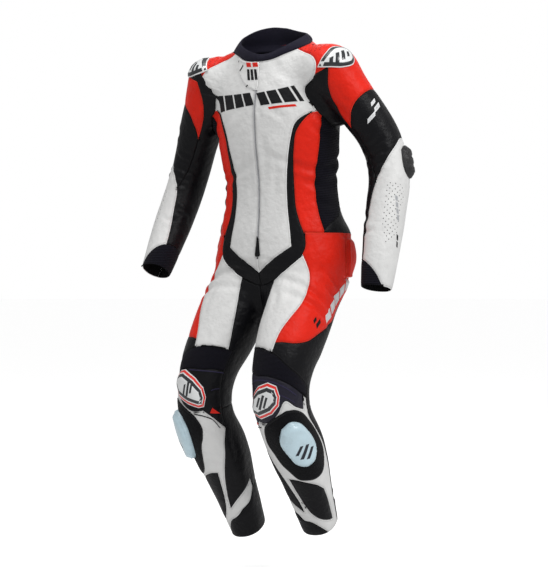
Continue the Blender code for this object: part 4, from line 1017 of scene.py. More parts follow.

# %% [markdown]
# ## Folds
# Sewn leather is stiff, so it folds only where it is slack or bent: across the inside of the
# elbows, behind the knees, under the arms, below the hip line and round the crotch. Each fold is
# placed as a soft trough or ridge with its own length, width and depth. A trough pushes
# up a little cloth on both of its sides, as a real one does. A wide, weak waviness is added so
# that no panel is perfectly smooth.

# %% Where the folds lie
# chart, side, half width and height in mm (below zero for a trough): angle and station in mm
FOLDS = """
# below the hip line, on the outside
leg left 9 -4.4: 44 16, 62 12, 84 20, 100 30
leg left 8 -5.1: 66 44, 82 52, 98 50, 112 56
leg left 7 2.7: 58 30, 74 34, 92 36
leg right 9 -4.1: 46 22, 66 20, 88 26
leg right 8 -3.7: 62 52, 80 60, 100 62
# the front of the thighs, close to the dark V
leg left 5 -2.5: -34 20, -16 26, 6 24
leg left 5 -2.2: -40 40, -22 44, -2 45
leg left 6 -2: -44 62, -28 66, -14 70
leg right 5 -2.7: -36 16, -18 20, 2 22
leg right 5 -2.4: -38 34, -22 40, 0 38
leg right 6 -2: -46 55, -26 60, -8 62
# the crotch and the top of the inner thigh
leg left 9 -5.4: -88 70, -70 48, -50 34
leg left 9 -4.1: -92 98, -72 84, -56 80
leg left 10 -3.4: -100 130, -82 124, -64 126
leg right 9 -5.1: -88 66, -68 50, -52 40
leg right 9 -4.4: -94 104, -74 88, -58 86
leg right 10 -3.1: -98 140, -80 130, -66 134
# seat and upper back of the legs
leg left 10 -5.8: 206 50, 184 72, 160 78
leg left 9 -4.4: 212 88, 190 100, 168 98
leg left 10 -3.4: 220 120, 200 130, 182 128
leg right 10 -5.4: 208 46, 186 66, 158 74
leg right 9 -4.8: 214 82, 192 96, 166 100
leg right 10 -3.7: 218 126, 198 134, 178 130
# behind the knees
leg left 10 -7.1: 128 352, 156 362, 184 366, 214 358, 236 346
leg left 10 -7.8: 136 386, 160 392, 188 394, 222 384
leg left 9 -5.8: 144 416, 170 424, 196 422, 228 414
leg left 9 -4.4: 150 330, 178 334, 204 328
leg left 9 -3.7: 156 446, 184 452, 208 450
leg right 10 -7.5: 130 348, 160 358, 190 360, 226 352
leg right 10 -7.5: 138 380, 166 388, 196 390, 226 382
leg right 9 -6.1: 142 412, 172 418, 202 416, 224 410
leg right 9 -4.1: 154 324, 180 328, 206 324
leg right 9 -4.1: 160 440, 188 446, 210 444
# above and below the knee's side, and down the shin
leg left 6 -2.7: -62 392, -46 400, -34 414
leg left 6 -2.4: -58 350, -48 356, -40 366
leg right 6 -2.7: -66 386, -50 394, -38 408
leg right 6 -2.4: -60 346, -50 350, -42 360
leg left 12 -2.7: -84 470, -76 530, -74 580
leg right 12 -3.1: -82 460, -76 520, -72 590
leg left 12 -3.1: 196 500, 204 560, 200 620
leg right 12 -2.7: 186 510, 196 560, 194 630
# above the ankles
leg left 7 -3.4: -60 690, -30 700, 4 696, 30 702
leg left 8 -4.4: 120 684, 150 694, 190 690, 224 698
leg left 7 -3.4: 140 712, 172 720, 204 716
leg right 7 -3.4: -70 696, -40 704, -8 702
leg right 8 -4.4: 128 690, 160 700, 196 694, 218 700
leg right 7 -3.1: 146 718, 176 724, 206 722
# the inside of the elbows
arm left 9 -6.1: -52 222, -22 230, 10 226, 38 216
arm left 9 -6.8: -66 250, -36 258, -4 256, 30 246
arm left 8 -5.4: -58 282, -30 286, 2 284, 26 278
arm left 8 -3.7: -44 306, -20 312, 8 308
arm left 8 -3.4: -40 198, -16 204, 12 200
arm right 9 -6.5: -56 232, -26 240, 8 236, 34 226
arm right 9 -7.1: -64 262, -34 268, -2 266, 28 256
arm right 8 -5.1: -56 294, -28 298, 4 294, 24 288
arm right 8 -3.4: -42 318, -18 322, 10 320
arm right 8 -3.7: -38 208, -14 212, 14 208
# under the arms and along the upper arm
arm left 9 -5.4: -120 44, -96 60, -70 70
arm left 9 -4.1: -130 78, -104 92, -80 98
arm left 9 -3.1: -40 60, -26 100, -18 140
arm right 9 -5.1: -116 48, -94 62, -72 68
arm right 9 -3.7: -128 84, -102 96, -78 100
arm right 9 -3.4: -44 56, -30 96, -22 150
arm left 10 -3.1: 170 120, 186 150, 190 190
arm right 10 -3.1: 166 110, 182 146, 188 200
# lower sleeve, where it narrows to the cuff
arm left 7 -3.4: -60 470, -30 478, 4 474
arm left 8 -3.1: -80 430, -50 440, -20 438
arm left 8 -3.4: 150 420, 180 430, 210 424
arm right 7 -3.4: -62 440, -32 450, 0 446
arm right 8 -3.1: -84 400, -54 412, -24 408
arm right 8 -3.4: 146 400, 178 410, 212 404
# beside the zip, at the waist and at the V
trunk left 10 -2: 10 -200, 13 -270, 9 -350
trunk left 11 -1.7: 20 -240, 24 -310, 21 -400
trunk right 10 -2.2: 11 -220, 14 -300, 11 -380
trunk right 11 -1.7: 22 -210, 25 -280, 22 -360
trunk left 6 -2: 2 -565, 12 -548, 24 -538
trunk right 6 -2: 2 -560, 14 -552, 26 -546
trunk left 9 -1.7: 3 -100, 8 -140, 10 -170
# the waist's side and the red stripe
trunk left 9 -3.4: 54 -330, 72 -342, 96 -338
trunk left 9 -3.7: 62 -378, 82 -390, 104 -384
trunk left 8 -2.4: 48 -296, 64 -306, 80 -302
trunk right 9 -3.7: 56 -336, 76 -350, 98 -344
trunk right 9 -3.4: 60 -384, 80 -394, 106 -392
trunk right 8 -2.4: 50 -290, 66 -300, 84 -298
# under the arms, on the trunk
trunk left 9 -4.1: 66 -150, 80 -172, 98 -176
trunk left 9 -3.1: 62 -184, 78 -204, 96 -212
trunk right 9 -4.4: 64 -146, 80 -168, 100 -172
trunk right 9 -3.1: 60 -190, 76 -208, 94 -210
# small of the back, and the seat
trunk left 9 -4.4: 176 -330, 150 -338, 126 -334
trunk left 9 -4.8: 180 -372, 158 -380, 134 -376
trunk left 10 -3.7: 172 -412, 150 -424, 130 -420
trunk right 9 -4.4: 178 -350, 156 -356, 130 -352
trunk right 9 -4.4: 182 -394, 156 -402, 128 -398
trunk right 10 -3.4: 174 -436, 148 -446, 124 -442
trunk left 13 -3.7: 150 -110, 156 -170, 150 -230
trunk right 13 -3.7: 152 -100, 158 -160, 150 -220
# the shoulder yoke, between the collar and the cups
trunk left 9 -2.4: 60 -20, 74 0, 92 10
trunk right 9 -2.4: 62 -24, 76 -4, 94 6
trunk left 10 -3.1: 120 -20, 136 -40, 150 -60
trunk right 10 -3.1: 118 -16, 134 -36, 150 -56
# the edge of the left hip's pad, and the slack over the right hip
leg left 4.5 -6.5: 62 -120, 69 -94, 73 -79, 76 -64, 81 -50, 87 -38, 96 -27, 110 -10
leg left 4.5 -6.5: 58 -88, 68 -101, 76 -114, 92 -134
leg left 4.5 -6.5: 92 -4, 104 -13, 117 -28, 134 -48
leg right 8 4.5: 34 -86, 56 -80, 78 -88
leg right 6 -5: 40 -64, 60 -60, 80 -66
leg right 7 4: 42 -42, 62 -36, 84 -44
leg right 7 -4: 48 -16, 66 -10, 86 -18
# long pulls down the front of the thighs
leg left 9 -2.2: -30 60, -14 110, -8 170
leg left 9 -1.8: 4 70, 14 120, 8 180
leg right 9 -2.2: -34 80, -24 130, -30 190
leg right 9 -1.8: 6 60, 16 130, 10 200
# across the upper chest, from the flap to the armholes
trunk left 12 -2: 24 20, 40 -30, 54 -70
trunk right 10 -2: 46 10, 50 -30, 56 -66
trunk left 10 -1.8: 14 -130, 30 -150, 44 -180
trunk right 10 -1.8: 20 -130, 36 -150, 50 -176
"""
WAVE, WAVE_LENGTH = 0.0011, 0.050  # the weak waviness: height, and about how long it is
FOLD_STEP, FOLD_REACH = 0.006, 3.5  # spacing of a fold's points, and its reach in half widths
TAPER, BANK, BANK_AT, BANK_WIDE = 0.8, 0.32, 1.9, 0.9  # the cloth that a trough pushes up


def chart_of(kind, side):
    """The chart, and the way its angles run on that side."""
    if kind == "trunk":
        return TRUNK_CHART, SIDES[side]
    return {"arm": ARM_CHARTS, "leg": LEG_CHARTS}[kind][side], 1


def fold_line(row):
    """A fold's line in space, and its half width and height in metres."""
    head, rows = row.split(":")
    kind, side, width, height = head.split()
    chart, mirror = chart_of(kind, side)
    line = chart.place(smooth(path(rows), chart, FOLD_STEP) * np.array([mirror, 1]))
    return line, float(width) / 1000, float(height) / 1000


FOLD_LINES = [fold_line(row) for row in FOLDS.splitlines() if ":" in row]


def relief(points):
    """How far the folds raise each point, in metres."""
    raised = np.zeros(len(points))
    low, high = points.min(0), points.max(0)
    for line, width, height in FOLD_LINES:
        first, last = line.min(0) - FOLD_REACH * width, line.max(0) + FOLD_REACH * width
        if (first > high).any() or (last < low).any():
            continue
        near = np.flatnonzero(((points > first) & (points < last)).all(1))
        gap, share = np.full(len(near), 1e9), np.zeros(len(near))
        for k, (a, b) in enumerate(zip(line[:-1], line[1:])):
            d = b - a
            t = np.clip((points[near] - a) @ d / (d @ d), 0, 1)
            away = np.linalg.norm(points[near] - a - t[:, None] * d, axis=1)
            closer = away < gap
            gap[closer], share[closer] = away[closer], (k + t[closer]) / (len(line) - 1)
        gap = gap / width
        taper = np.sin(np.pi * np.clip(share, 0, 1)) ** TAPER
        bank = BANK * np.exp(-(((gap - BANK_AT) / BANK_WIDE) ** 2))
        raised[near] += height * taper * (np.exp(-(gap**2)) - bank)
    return raised


def waviness(points):
    return np.array([WAVE * noise.noise(Vector(p) / WAVE_LENGTH) for p in points])


folded = skin_points + skin_normals * (relief(skin_points) + waviness(skin_points))[:, None]
print("folds:", len(FOLD_LINES), "deepest, mm:", round(1000 * float(relief(skin_points).min()), 1))

# %% [markdown]
# ## Leather, cloth and plastic
# Every surface is made of nodes that work in the object's own metres. Cowhide has a grain about
# a millimetre across, a weaker wrinkling, and a tone that drifts over a panel. Each panel knows
# how far every spot lies from its seam and how far round its edge it is: from these two the
# nodes draw the turned edge, with a painted highlight on white and red leather and painted shade
# on black, a row of stitches, and a darkening of the leather towards the seam.

# %% Node helpers
def add(tree, kind, inputs=None, **settings):
    """A new node with its settings and inputs. An input is a number, a colour or an output."""
    made = tree.nodes.new("ShaderNode" + kind)
    for key, value in settings.items():
        setattr(made, key, value)
    for key, value in (inputs or {}).items():
        if isinstance(value, bpy.types.NodeSocket):
            tree.links.new(value, made.inputs[key])
        else:
            made.inputs[key].default_value = value
    return made


def new_look(name):
    """A material, its nodes, and each spot's place in the object's own metres."""
    made = bpy.data.materials.new(name)
    made.use_nodes = True
    return made, made.node_tree, add(made.node_tree, "TexCoord").outputs["Object"]


def maths(tree, operation, *values):
    return add(tree, "Math", dict(enumerate(values)), operation=operation).outputs[0]


def blend(tree, share, first, second):
    made = add(tree, "Mix", {0: share, 6: first, 7: second}, data_type="RGBA")
    return made.outputs[2]


def ramp(tree, value, low, high, to_low=0.0, to_high=1.0):
    """The value's place between low and high, as a number from to_low to to_high."""
    rows = {"Value": value, 1: low, 2: high, 3: to_low, 4: to_high}
    return add(tree, "MapRange", rows, interpolation_type="SMOOTHSTEP").outputs[0]


def field_of(tree, name):
    return add(tree, "Attribute", attribute_name=name).outputs["Fac"]


def noise_of(tree, place, scale, detail=2.0):
    return add(tree, "TexNoise", {"Vector": place, "Scale": scale, "Detail": detail}).outputs["Fac"]


def grain_of(tree, place, scale):
    return add(tree, "TexVoronoi", {"Vector": place, "Scale": scale}).outputs["Distance"]


def bump(tree, height, depth, under=None):
    rows = {"Height": height, "Distance": depth, "Strength": 1.0}
    if under is not None:
        rows["Normal"] = under
    return add(tree, "Bump", rows).outputs[0]


def toned(tree, colour, by):
    """The colour times a number."""
    made = add(tree, "VectorMath", {0: colour, "Scale": by}, operation="SCALE")
    return made.outputs[0]


def finish_shader(tree, colour, rough, normal, **extras):
    shader = tree.nodes["Principled BSDF"]
    tree.links.new(colour, shader.inputs["Base Color"])
    tree.links.new(rough, shader.inputs["Roughness"])
    tree.links.new(normal, shader.inputs["Normal"])
    for key, value in extras.items():
        shader.inputs[key.replace("_", " ")].default_value = value


def rgb(r, g, b):
    """A linear colour from the usual 0 to 255 numbers."""
    return tuple(v / 12.92 if v <= 0.04045 else ((v + 0.055) / 1.055) ** 2.4
                 for v in (r / 255, g / 255, b / 255))


print("red leather:", [round(v, 3) for v in rgb(232, 54, 33)])

# %% Leather
GRAIN, WRINKLE = 950, 70  # grains and wrinkles to the metre
# the width of the turned edge, the band on which the seam's painted highlight and painted shade are
# drawn
TURNED_EDGE = 0.0016  # width of the edge that rolls down into the seam
STITCH_ROW, THREAD, PITCH = 0.0038, 0.00042, 0.0034
HOLE_RADIUS = 0.12  # a share of the pitch


def leather(name, colour, rough, edge, thread, painted_edge_strength=1.0, shine=0.25, holes=0.0062):
    """Grained leather with a turned edge, stitches and, where vents is 1, round holes. The turned
    edge is painted in the edge colour: a painted highlight on white and red leather, painted shade
    on black.
    """
    made, tree, place = new_look(name)
    drift = noise_of(tree, place, 7.0)
    cloud = noise_of(tree, place, 45.0, 3.0)
    tone = maths(tree, "ADD", ramp(tree, drift, 0.3, 0.7, 0.95, 1.03),
                 ramp(tree, cloud, 0.3, 0.7, -0.025, 0.025))
    gap, run = field_of(tree, "edge_gap"), field_of(tree, "edge_run")
    # the leather darkens towards its seam: 0.9 of its tone at the rim, its full tone 10 mm in
    seam_darkening = ramp(tree, gap, 0.0, 0.010, 0.90, 1.0)
    base = toned(tree, (*colour,), maths(tree, "MULTIPLY", tone, seam_darkening))
    # painted highlight and painted shade: near the rim the colour turns to the edge colour,
    # brighter than white and red leather, darker than black
    painted_edge_share = ramp(tree, gap, TURNED_EDGE * 0.6, TURNED_EDGE, painted_edge_strength, 0.0)
    base = blend(tree, painted_edge_share, base, (*edge, 1))
    off_row = maths(tree, "ABSOLUTE", maths(tree, "SUBTRACT", gap, STITCH_ROW))
    on_row = ramp(tree, off_row, THREAD * 0.6, THREAD, 1.0, 0.0)
    beat = maths(tree, "FRACT", maths(tree, "DIVIDE", run, PITCH))
    off_beat = maths(tree, "ABSOLUTE", maths(tree, "SUBTRACT", beat, 0.5))
    stitch = maths(tree, "MULTIPLY", on_row, ramp(tree, off_beat, 0.28, 0.36, 1.0, 0.0))
    base = blend(tree, stitch, base, (*thread, 1))
    cloth = add(tree, "UVMap", uv_map="cloth").outputs[0]
    rows = {"Vector": cloth, "Rotation": (0, 0, math.pi / 4), "Scale": (1 / holes, 1 / holes, 1)}
    cell = add(tree, "Mapping", rows).outputs[0]
    cell = add(tree, "VectorMath", {0: cell}, operation="FRACTION").outputs[0]
    off = add(tree, "VectorMath", {0: cell, 1: (0.5, 0.5, 0)}, operation="DISTANCE")
    off = off.outputs["Value"]
    hole = ramp(tree, off, HOLE_RADIUS * 0.8, HOLE_RADIUS * 1.3, 1.0, 0.0)
    vented = maths(tree, "GREATER_THAN", field_of(tree, "vents"), 0.5)
    hole = maths(tree, "MULTIPLY", hole, vented)
    base = blend(tree, hole, base, (0.006, 0.006, 0.006, 1))
    grain = grain_of(tree, place, GRAIN)
    wrinkle = noise_of(tree, place, WRINKLE, 4.0)
    normal = bump(tree, wrinkle, 0.0026)
    normal = bump(tree, grain, 0.00016, normal)
    normal = bump(tree, maths(tree, "SUBTRACT", stitch, hole), 0.0005, normal)
    gloss = maths(tree, "ADD", ramp(tree, cloud, 0.3, 0.7, rough - 0.05, rough + 0.05),
                  ramp(tree, grain, 0.0, 0.6, 0.06, -0.02))
    finish_shader(tree, base, gloss, normal, Specular_IOR_Level=shine)
    return made


# the edge colours are painted light: the black edge is painted shade at the seams of dark leather,
# and the pale and light red edges below are painted highlights
BLACK_EDGE_SHADE, PALE_THREAD = rgb(10, 10, 12), rgb(196, 196, 194)
DARK_THREAD, RED_THREAD = rgb(46, 46, 48), rgb(196, 40, 26)
LOOKS = {
    "white_leather": leather("white_leather", rgb(222, 222, 221), 0.45, rgb(243, 243, 243),
                             PALE_THREAD),
    "red_leather": leather("red_leather", rgb(226, 36, 18), 0.44, rgb(226, 70, 50), RED_THREAD,
                           0.7, 0.16),
    "black_leather": leather("black_leather", rgb(15, 15, 18), 0.42, BLACK_EDGE_SHADE, DARK_THREAD,
                             shine=0.14),
    # a lighter, bluer copy of the black leather for the left knee panel alone: painted light for
    # the lit knee
    "knee_leather_painted_lit": leather("knee_leather_painted_lit", rgb(30, 28, 42), 0.40, BLACK_EDGE_SHADE, DARK_THREAD,
                            shine=0.22),
    "sleeve_leather": leather("sleeve_leather", rgb(222, 222, 221), 0.45, rgb(243, 243, 243),
                              PALE_THREAD, holes=0.0105),
}
print("leathers:", list(LOOKS))


# %% Stretch cloth, trim and lining
def ribbed(name, colour, groove_shade, axis, pitch, rough=0.8):
    """Cloth with ribs across one axis of the object (0, 1 or 2), the pitch apart. The grooves
    between the ribs take the darker groove colour, a painted shade.
    """
    made, tree, place = new_look(name)
    parts = add(tree, "SeparateXYZ", {0: place})
    sway = maths(tree, "MULTIPLY", noise_of(tree, place, 22.0), 0.0016)
    along = maths(tree, "ADD", parts.outputs[axis], sway)
    wave = maths(tree, "SINE", maths(tree, "MULTIPLY", along, 2 * math.pi / pitch))
    rib = ramp(tree, wave, -1.0, 0.6)
    knit = grain_of(tree, place, 1500)
    drift = ramp(tree, noise_of(tree, place, 12.0), 0.3, 0.7, 0.9, 1.1)
    gap = field_of(tree, "edge_gap")
    # painted shade: the rib grooves take the darker groove colour
    base = blend(tree, rib, (*groove_shade, 1), (*colour, 1))
    # painted shade along the seam: the cloth is half as bright at its edge and back to its full
    # tone 4 mm in
    base = toned(tree, base, maths(tree, "MULTIPLY", drift, ramp(tree, gap, 0.0, 0.004, 0.5, 1.0)))
    normal = bump(tree, rib, 0.0011)
    normal = bump(tree, knit, 0.00025, normal)
    gloss = ramp(tree, rib, 0.0, 1.0, min(rough + 0.15, 1.0), rough)
    finish_shader(tree, base, gloss, normal, Sheen_Weight=0.04, Specular_IOR_Level=0.12)
    return made


# each cloth's second colour is the painted shade in its rib grooves
LOOKS["stretch"] = ribbed("stretch", rgb(15, 13, 26), rgb(5, 5, 10), 2, 0.0045)
LOOKS["knee_stretch"] = ribbed("knee_stretch", rgb(13, 11, 25), rgb(5, 5, 10), 2, 0.0030)
LOOKS["collar_trim"] = ribbed("collar_trim", rgb(38, 36, 54), rgb(24, 22, 36), 2, 0.0016, 0.7)
LOOKS["lining"] = ribbed("lining", rgb(20, 20, 22), rgb(8, 8, 9), 0, 0.0040, 0.9)
print("cloths:", [name for name in LOOKS if "leather" not in name])

# %% [markdown]
# ## Panels
# Each piece of leather is one object. On the real suit two panels are laid face to face, sewn,
# opened and topstitched, so a seam is a shallow groove between two rolled edges. Here each
# panel gets a narrow band inside its edge by an inset; the edge is then pressed down and spread
# a little, so that no light comes through, and the cloth next to it sinks softly. A Solidify
# gives the panel its thickness.

# %% Making a panel
BAND, THICKNESS = 0.0022, 0.0016
PRESSED, OVERLAP = 0.0009, 0.00015  # how far a seam's edge is pressed down, and spread
DIP, DIP_WIDTH = 0.0009, 0.007  # the soft hollow along a seam
GAP_SHOWN = 0.02  # the nodes need no distance greater than this
SLOT_OF = {piece: slot for slot, pieces in {
    "white_leather": "front back_panel sleeve_forearm thigh_front shin",
    "red_leather": "front_flash shoulder_yoke sleeve_cap thigh_outer",
    "stretch": "side_stretch back_stretch knee_stretch sleeve_cuff",
}.items() for piece in pieces.split()}
# only the left knee panel takes the lighter, bluer leather, painted light where that knee catches
# the light
LOOK_OF = {"knee_stretch": "knee_stretch", "knee_panel_left": "knee_leather_painted_lit",
           "sleeve_forearm": "sleeve_leather"}


def base_of(name):
    return name.removesuffix("_left").removesuffix("_right")


def rim_samples(mesh, pitch=0.001):
    """Points along the mesh's open edges, and how far each lies along its loop."""
    ahead = {}
    for edge in mesh.edges:
        if edge.is_boundary:
            loop = edge.link_loops[0]
            ahead[loop.vert] = loop.link_loop_next.vert
    places, runs = [], []
    while ahead:
        start = here = next(iter(ahead))
        run = 0.0
        while here in ahead:
            after = ahead.pop(here)
            length = (after.co - here.co).length
            steps = max(1, math.ceil(length / pitch))
            for k in range(steps):
                places.append(here.co.lerp(after.co, k / steps))
                runs.append(run + length * k / steps)
            run += length
            here = after
    return places, runs


def tree_of(places):
    tree = KDTree(len(places))
    for k, place in enumerate(places):
        tree.insert(place, k)
    tree.balance()
    return tree


def patch_of(name):
    """A panel's flat patch of the folded skin as a bmesh, with its cloth coordinates."""
    picked = skin_names == name
    used, flat = np.unique(skin_faces[picked], return_inverse=True)
    mesh = bmesh.new()
    cloth = mesh.loops.layers.uv.new("cloth")
    verts = [mesh.verts.new(p) for p in folded[used]]
    for face, corners in zip(flat.reshape(-1, 3), skin_cloth[picked]):
        made = mesh.faces.new([verts[k] for k in face])
        for loop, uv in zip(made.loops, corners):
            loop[cloth].uv = uv
    return mesh


def seam_edge(mesh):
    """Insets a band along the open edges, presses them down and writes the seam attributes."""
    mesh.normal_update()
    gap_layer = mesh.verts.layers.float.new("edge_gap")
    run_layer = mesh.verts.layers.float.new("edge_run")
    bmesh.ops.inset_region(mesh, faces=mesh.faces[:], use_boundary=True, use_interpolate=True,
                           thickness=BAND)
    mesh.normal_update()
    places, runs = rim_samples(mesh)
    tree = tree_of(places)
    moves = []
    for vert in mesh.verts:
        _, k, gap = tree.find(vert.co)
        if vert.is_boundary:
            gap = 0.0
        vert[gap_layer], vert[run_layer] = min(gap, GAP_SHOWN), runs[k]
        sunk = DIP * math.exp(-((gap / DIP_WIDTH) ** 2))
        move = -vert.normal * sunk
        if vert.is_boundary:
            inner = [e.other_vert(vert).co for e in vert.link_edges if not e.is_boundary]
            move -= vert.normal * PRESSED
            if inner:
                away = vert.co - sum(inner, Vector()) / len(inner)
                move += away.normalized() * OVERLAP
        moves.append(move)
    for vert, move in zip(mesh.verts, moves):
        vert.co += move


def shown(name, mesh, materials, smooth_faces=True):
    """An object from a bmesh, with its materials, shaded smooth."""
    thing = bpy.data.objects.new(name, bpy.data.meshes.new(name))
    mesh.to_mesh(thing.data)
    mesh.free()
    for made in materials:
        thing.data.materials.append(made)
    thing.data.polygons.foreach_set("use_smooth", [smooth_faces] * len(thing.data.polygons))
    bpy.context.scene.collection.objects.link(thing)
    return thing


def stand_for(thing, slot, node=None):
    """The piece rides with the suit and stands for its node, whose part it hides. The slot is not
    used.
    """
    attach(thing, "root")
    if node:
        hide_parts(node)
    return thing


def thicken(thing, thickness=THICKNESS, offset=-1.0, inner=1):
    """A Solidify. Its inner side takes the material that many slots on."""
    solid = thing.modifiers.new("thickness", "SOLIDIFY")
    solid.thickness, solid.offset = thickness, offset
    solid.material_offset = inner
    return thing


def area_of(mesh):
    return sum(face.calc_area() for face in mesh.faces)


# %% Perforated areas
VENTS = {
    "sleeve_forearm": "20 350, 52 344, 70 356, 72 430, 62 492, 40 504, 24 470",
    "shoulder_yoke": "34 0, 52 -16, 66 -30, 84 -20, 80 20, 52 30",
    "back_panel": "164 -60, 196 -60, 200 -140, 190 -200, 170 -200, 160 -140",
}


def add_vents(mesh, name, kind):
    """Marks the corners that lie in the piece's perforated area."""
    layer = mesh.verts.layers.float.new("vents")
    cloth = mesh.loops.layers.uv["cloth"]
    if base_of(name) not in VENTS:
        return
    line = path(VENTS[base_of(name)])
    chart = TRUNK_CHART if kind == "trunk" else chart_of(kind, "left")[0]
    line = smooth([*line, line[0]], chart)[:-1]
    verts = list(mesh.verts)
    uv = np.array([vert.link_loops[0][cloth].uv[:] for vert in verts]) / chart.scale
    if kind == "trunk":
        uv = np.abs(uv)
    marked = inside(line, uv) | inside(line, uv + PERIOD) | inside(line, uv - PERIOD)
    for vert, mark in zip(verts, marked):
        vert[layer] = float(mark)


panels, areas = {}, {}
home_of = dict(zip(skin_names, skin_homes))
for name in sorted(set(skin_names)):
    if name in ("zip", "collar"):
        continue
    mesh = patch_of(name)
    seam_edge(mesh)
    add_vents(mesh, name, home_of[name][0])
    areas[name] = area_of(mesh)
    slot = SLOT_OF.get(base_of(name), "black_leather")
    look = LOOKS[LOOK_OF.get(name, LOOK_OF.get(base_of(name), slot))]
    panels[name] = thicken(shown(name + "_cloth", mesh, [look, LOOKS["lining"]]))
    stand_for(panels[name], slot, name)
print("panels:", len(panels), "cloth area, m2:", round(sum(areas.values()), 3))
for name in sorted(areas):
    print("  ", name, round(areas[name], 4))

# %% [markdown]
# ## Things laid on the panels
# Armour cups, sliders, the neck flap and the coloured shapes are laid on the finished suit. Each
# is cut to its own outline, follows the folded leather under it, and is closed by a side wall.
# A cup is moulded from hard plastic in one shell, its rings painted; a slider is a thick puck
# that a hook-and-loop patch holds, so that a worn one can be changed.

# %% Laying a closed piece on the skin
FINE = 0.0026
SHARP = math.radians(42)  # edges sharper than this stay sharp
LOW = 0.0002  # laid pieces start this far above the leather
RING_DEEP, RING_WIDE, MARK_SLOPE = 0.0005, 0.0009, 0.0012  # grooves at rings, slopes of marks


def ring_of(line, by):
    """A closed line in metres, drawn inwards."""
    ahead = np.roll(line, -1, axis=0) - np.roll(line, 1, axis=0)
    across = unit(np.column_stack([-ahead[:, 1], ahead[:, 0]]))
    after = np.roll(line, -1, axis=0)
    return line + across * by * np.sign((line[:, 0] * after[:, 1] - after[:, 0] * line[:, 1]).sum())


def ground_of(chart, uv):
    """Points and normals of the folded skin at these chart coordinates."""
    points = chart.place(uv)
    normals = out_of(points)
    return points + normals * (relief(points) + waviness(points))[:, None], normals


def sort_walls(mesh, row):
    """Extruding makes the side walls in no fixed order: here they go by the rows they stand on."""
    count = len(mesh.verts)
    mesh.verts.index_update()
    mesh.faces.index_update()

    def face_place(face):
        rows = [vert[row] for vert in face.verts]
        return face.index if len(rows) == 3 else (1 + min(rows)) * count ** 2 + max(rows)

    def edge_place(edge):
        low, high = sorted(vert.index for vert in edge.verts)
        return low * count + high

    mesh.faces.sort(key=face_place)
    mesh.edges.sort(key=edge_place)


def lay_on(chart, line, low, high, rings=(), marks=(), edge=FINE):
    """A closed solid over an outline, as a bmesh.

    high gives the height for distances from the rim. rings are (distance, material), and marks
    are (outline, material, rise): a mark that rises by less than nothing is a recess.
    """
    shaped = [ring_of(line * chart.scale, by) / chart.scale for by, _ in rings]
    uv, faces = flat_cloth(chart, [line], shaped + [mark for mark, _, _ in marks], edge)
    middles = uv[faces].mean(1)
    kinds = np.zeros(len(faces), int)
    for ring, (_, kind) in zip(shaped, rings):
        kinds[inside(ring, middles)] = kind
    rim = line * chart.scale
    gap, _, _ = near_segments(uv * chart.scale, rim, np.roll(rim, -1, axis=0))
    top = high(gap)
    for by, _ in rings:
        top = top - RING_DEEP * np.exp(-(((gap - by) / RING_WIDE) ** 2))
    for mark, kind, rise in marks:
        kinds[inside(mark, middles)] = kind
        edge_line = mark * chart.scale
        away, _, _ = near_segments(uv * chart.scale, edge_line, np.roll(edge_line, -1, axis=0))
        top = top + rise * inside(mark, uv) * np.clip(away / MARK_SLOPE, 0, 1)
    points, normals = ground_of(chart, uv)
    corners = points[faces]
    across = np.cross(corners[:, 1] - corners[:, 0], corners[:, 2] - corners[:, 0])
    turned = (across * normals[faces[:, 0]]).sum(1) < 0
    faces[turned] = faces[turned][:, ::-1]
    mesh = bmesh.new()
    row = mesh.verts.layers.int.new("row")
    gap_layer = mesh.verts.layers.float.new("edge_gap")
    run_layer = mesh.verts.layers.float.new("edge_run")
    mesh.verts.layers.float.new("vents")
    cloth = mesh.loops.layers.uv.new("cloth")
    verts = [mesh.verts.new(p) for p in points + normals * low]
    for k, vert in enumerate(verts):
        vert[row], vert[gap_layer] = k, min(gap[k], GAP_SHOWN)
    for face, kind in zip(faces, kinds):
        made = mesh.faces.new([verts[k] for k in face])
        made.material_index = int(kind)
        for loop, k in zip(made.loops, face):
            loop[cloth].uv = uv[k] * chart.scale
    places, runs = rim_samples(mesh)
    tree = tree_of(places)
    for vert in verts:
        vert[run_layer] = runs[tree.find(vert.co)[1]]
    raised = bmesh.ops.extrude_face_region(mesh, geom=mesh.faces[:], use_keep_orig=True)["geom"]
    for vert in raised:
        if isinstance(vert, bmesh.types.BMVert):
            k = vert[row]
            vert.co = points[k] + normals[k] * top[k]
    bmesh.ops.recalc_face_normals(mesh, faces=mesh.faces)
    sort_walls(mesh, row)
    return mesh


def dome(level, height, width, lip=0.25):
    """Height over a cup: it leaves its rim at the lip's share and is full past its slope."""
    def high(gap):
        share = np.clip(gap / width, 0, 1)
        return level + height * (lip + (1 - lip) * np.sin(share * math.pi / 2))
    return high


def slab(level, height, round_by=0.0012):
    """Height over a flat patch with a rounded edge."""
    return lambda gap: level + height * (0.55 + 0.45 * np.clip(gap / round_by, 0, 1) ** 0.5)


def shut(mesh):
    return "closed" if all(edge.is_manifold for edge in mesh.edges) else "OPEN"


def finish_piece(name, mesh, looks, slot, node=None):
    """Puts a laid piece in the scene, with its sharp corners kept."""
    state = shut(mesh)
    thing = shown(name, mesh, looks)
    thing.modifiers.new("corners", "EDGE_SPLIT").split_angle = SHARP
    stand_for(thing, slot, node)
    print(f"  {name}: {len(thing.data.polygons)} faces, {state}")
    return thing


print("fine edge, mm:", FINE * 1000)


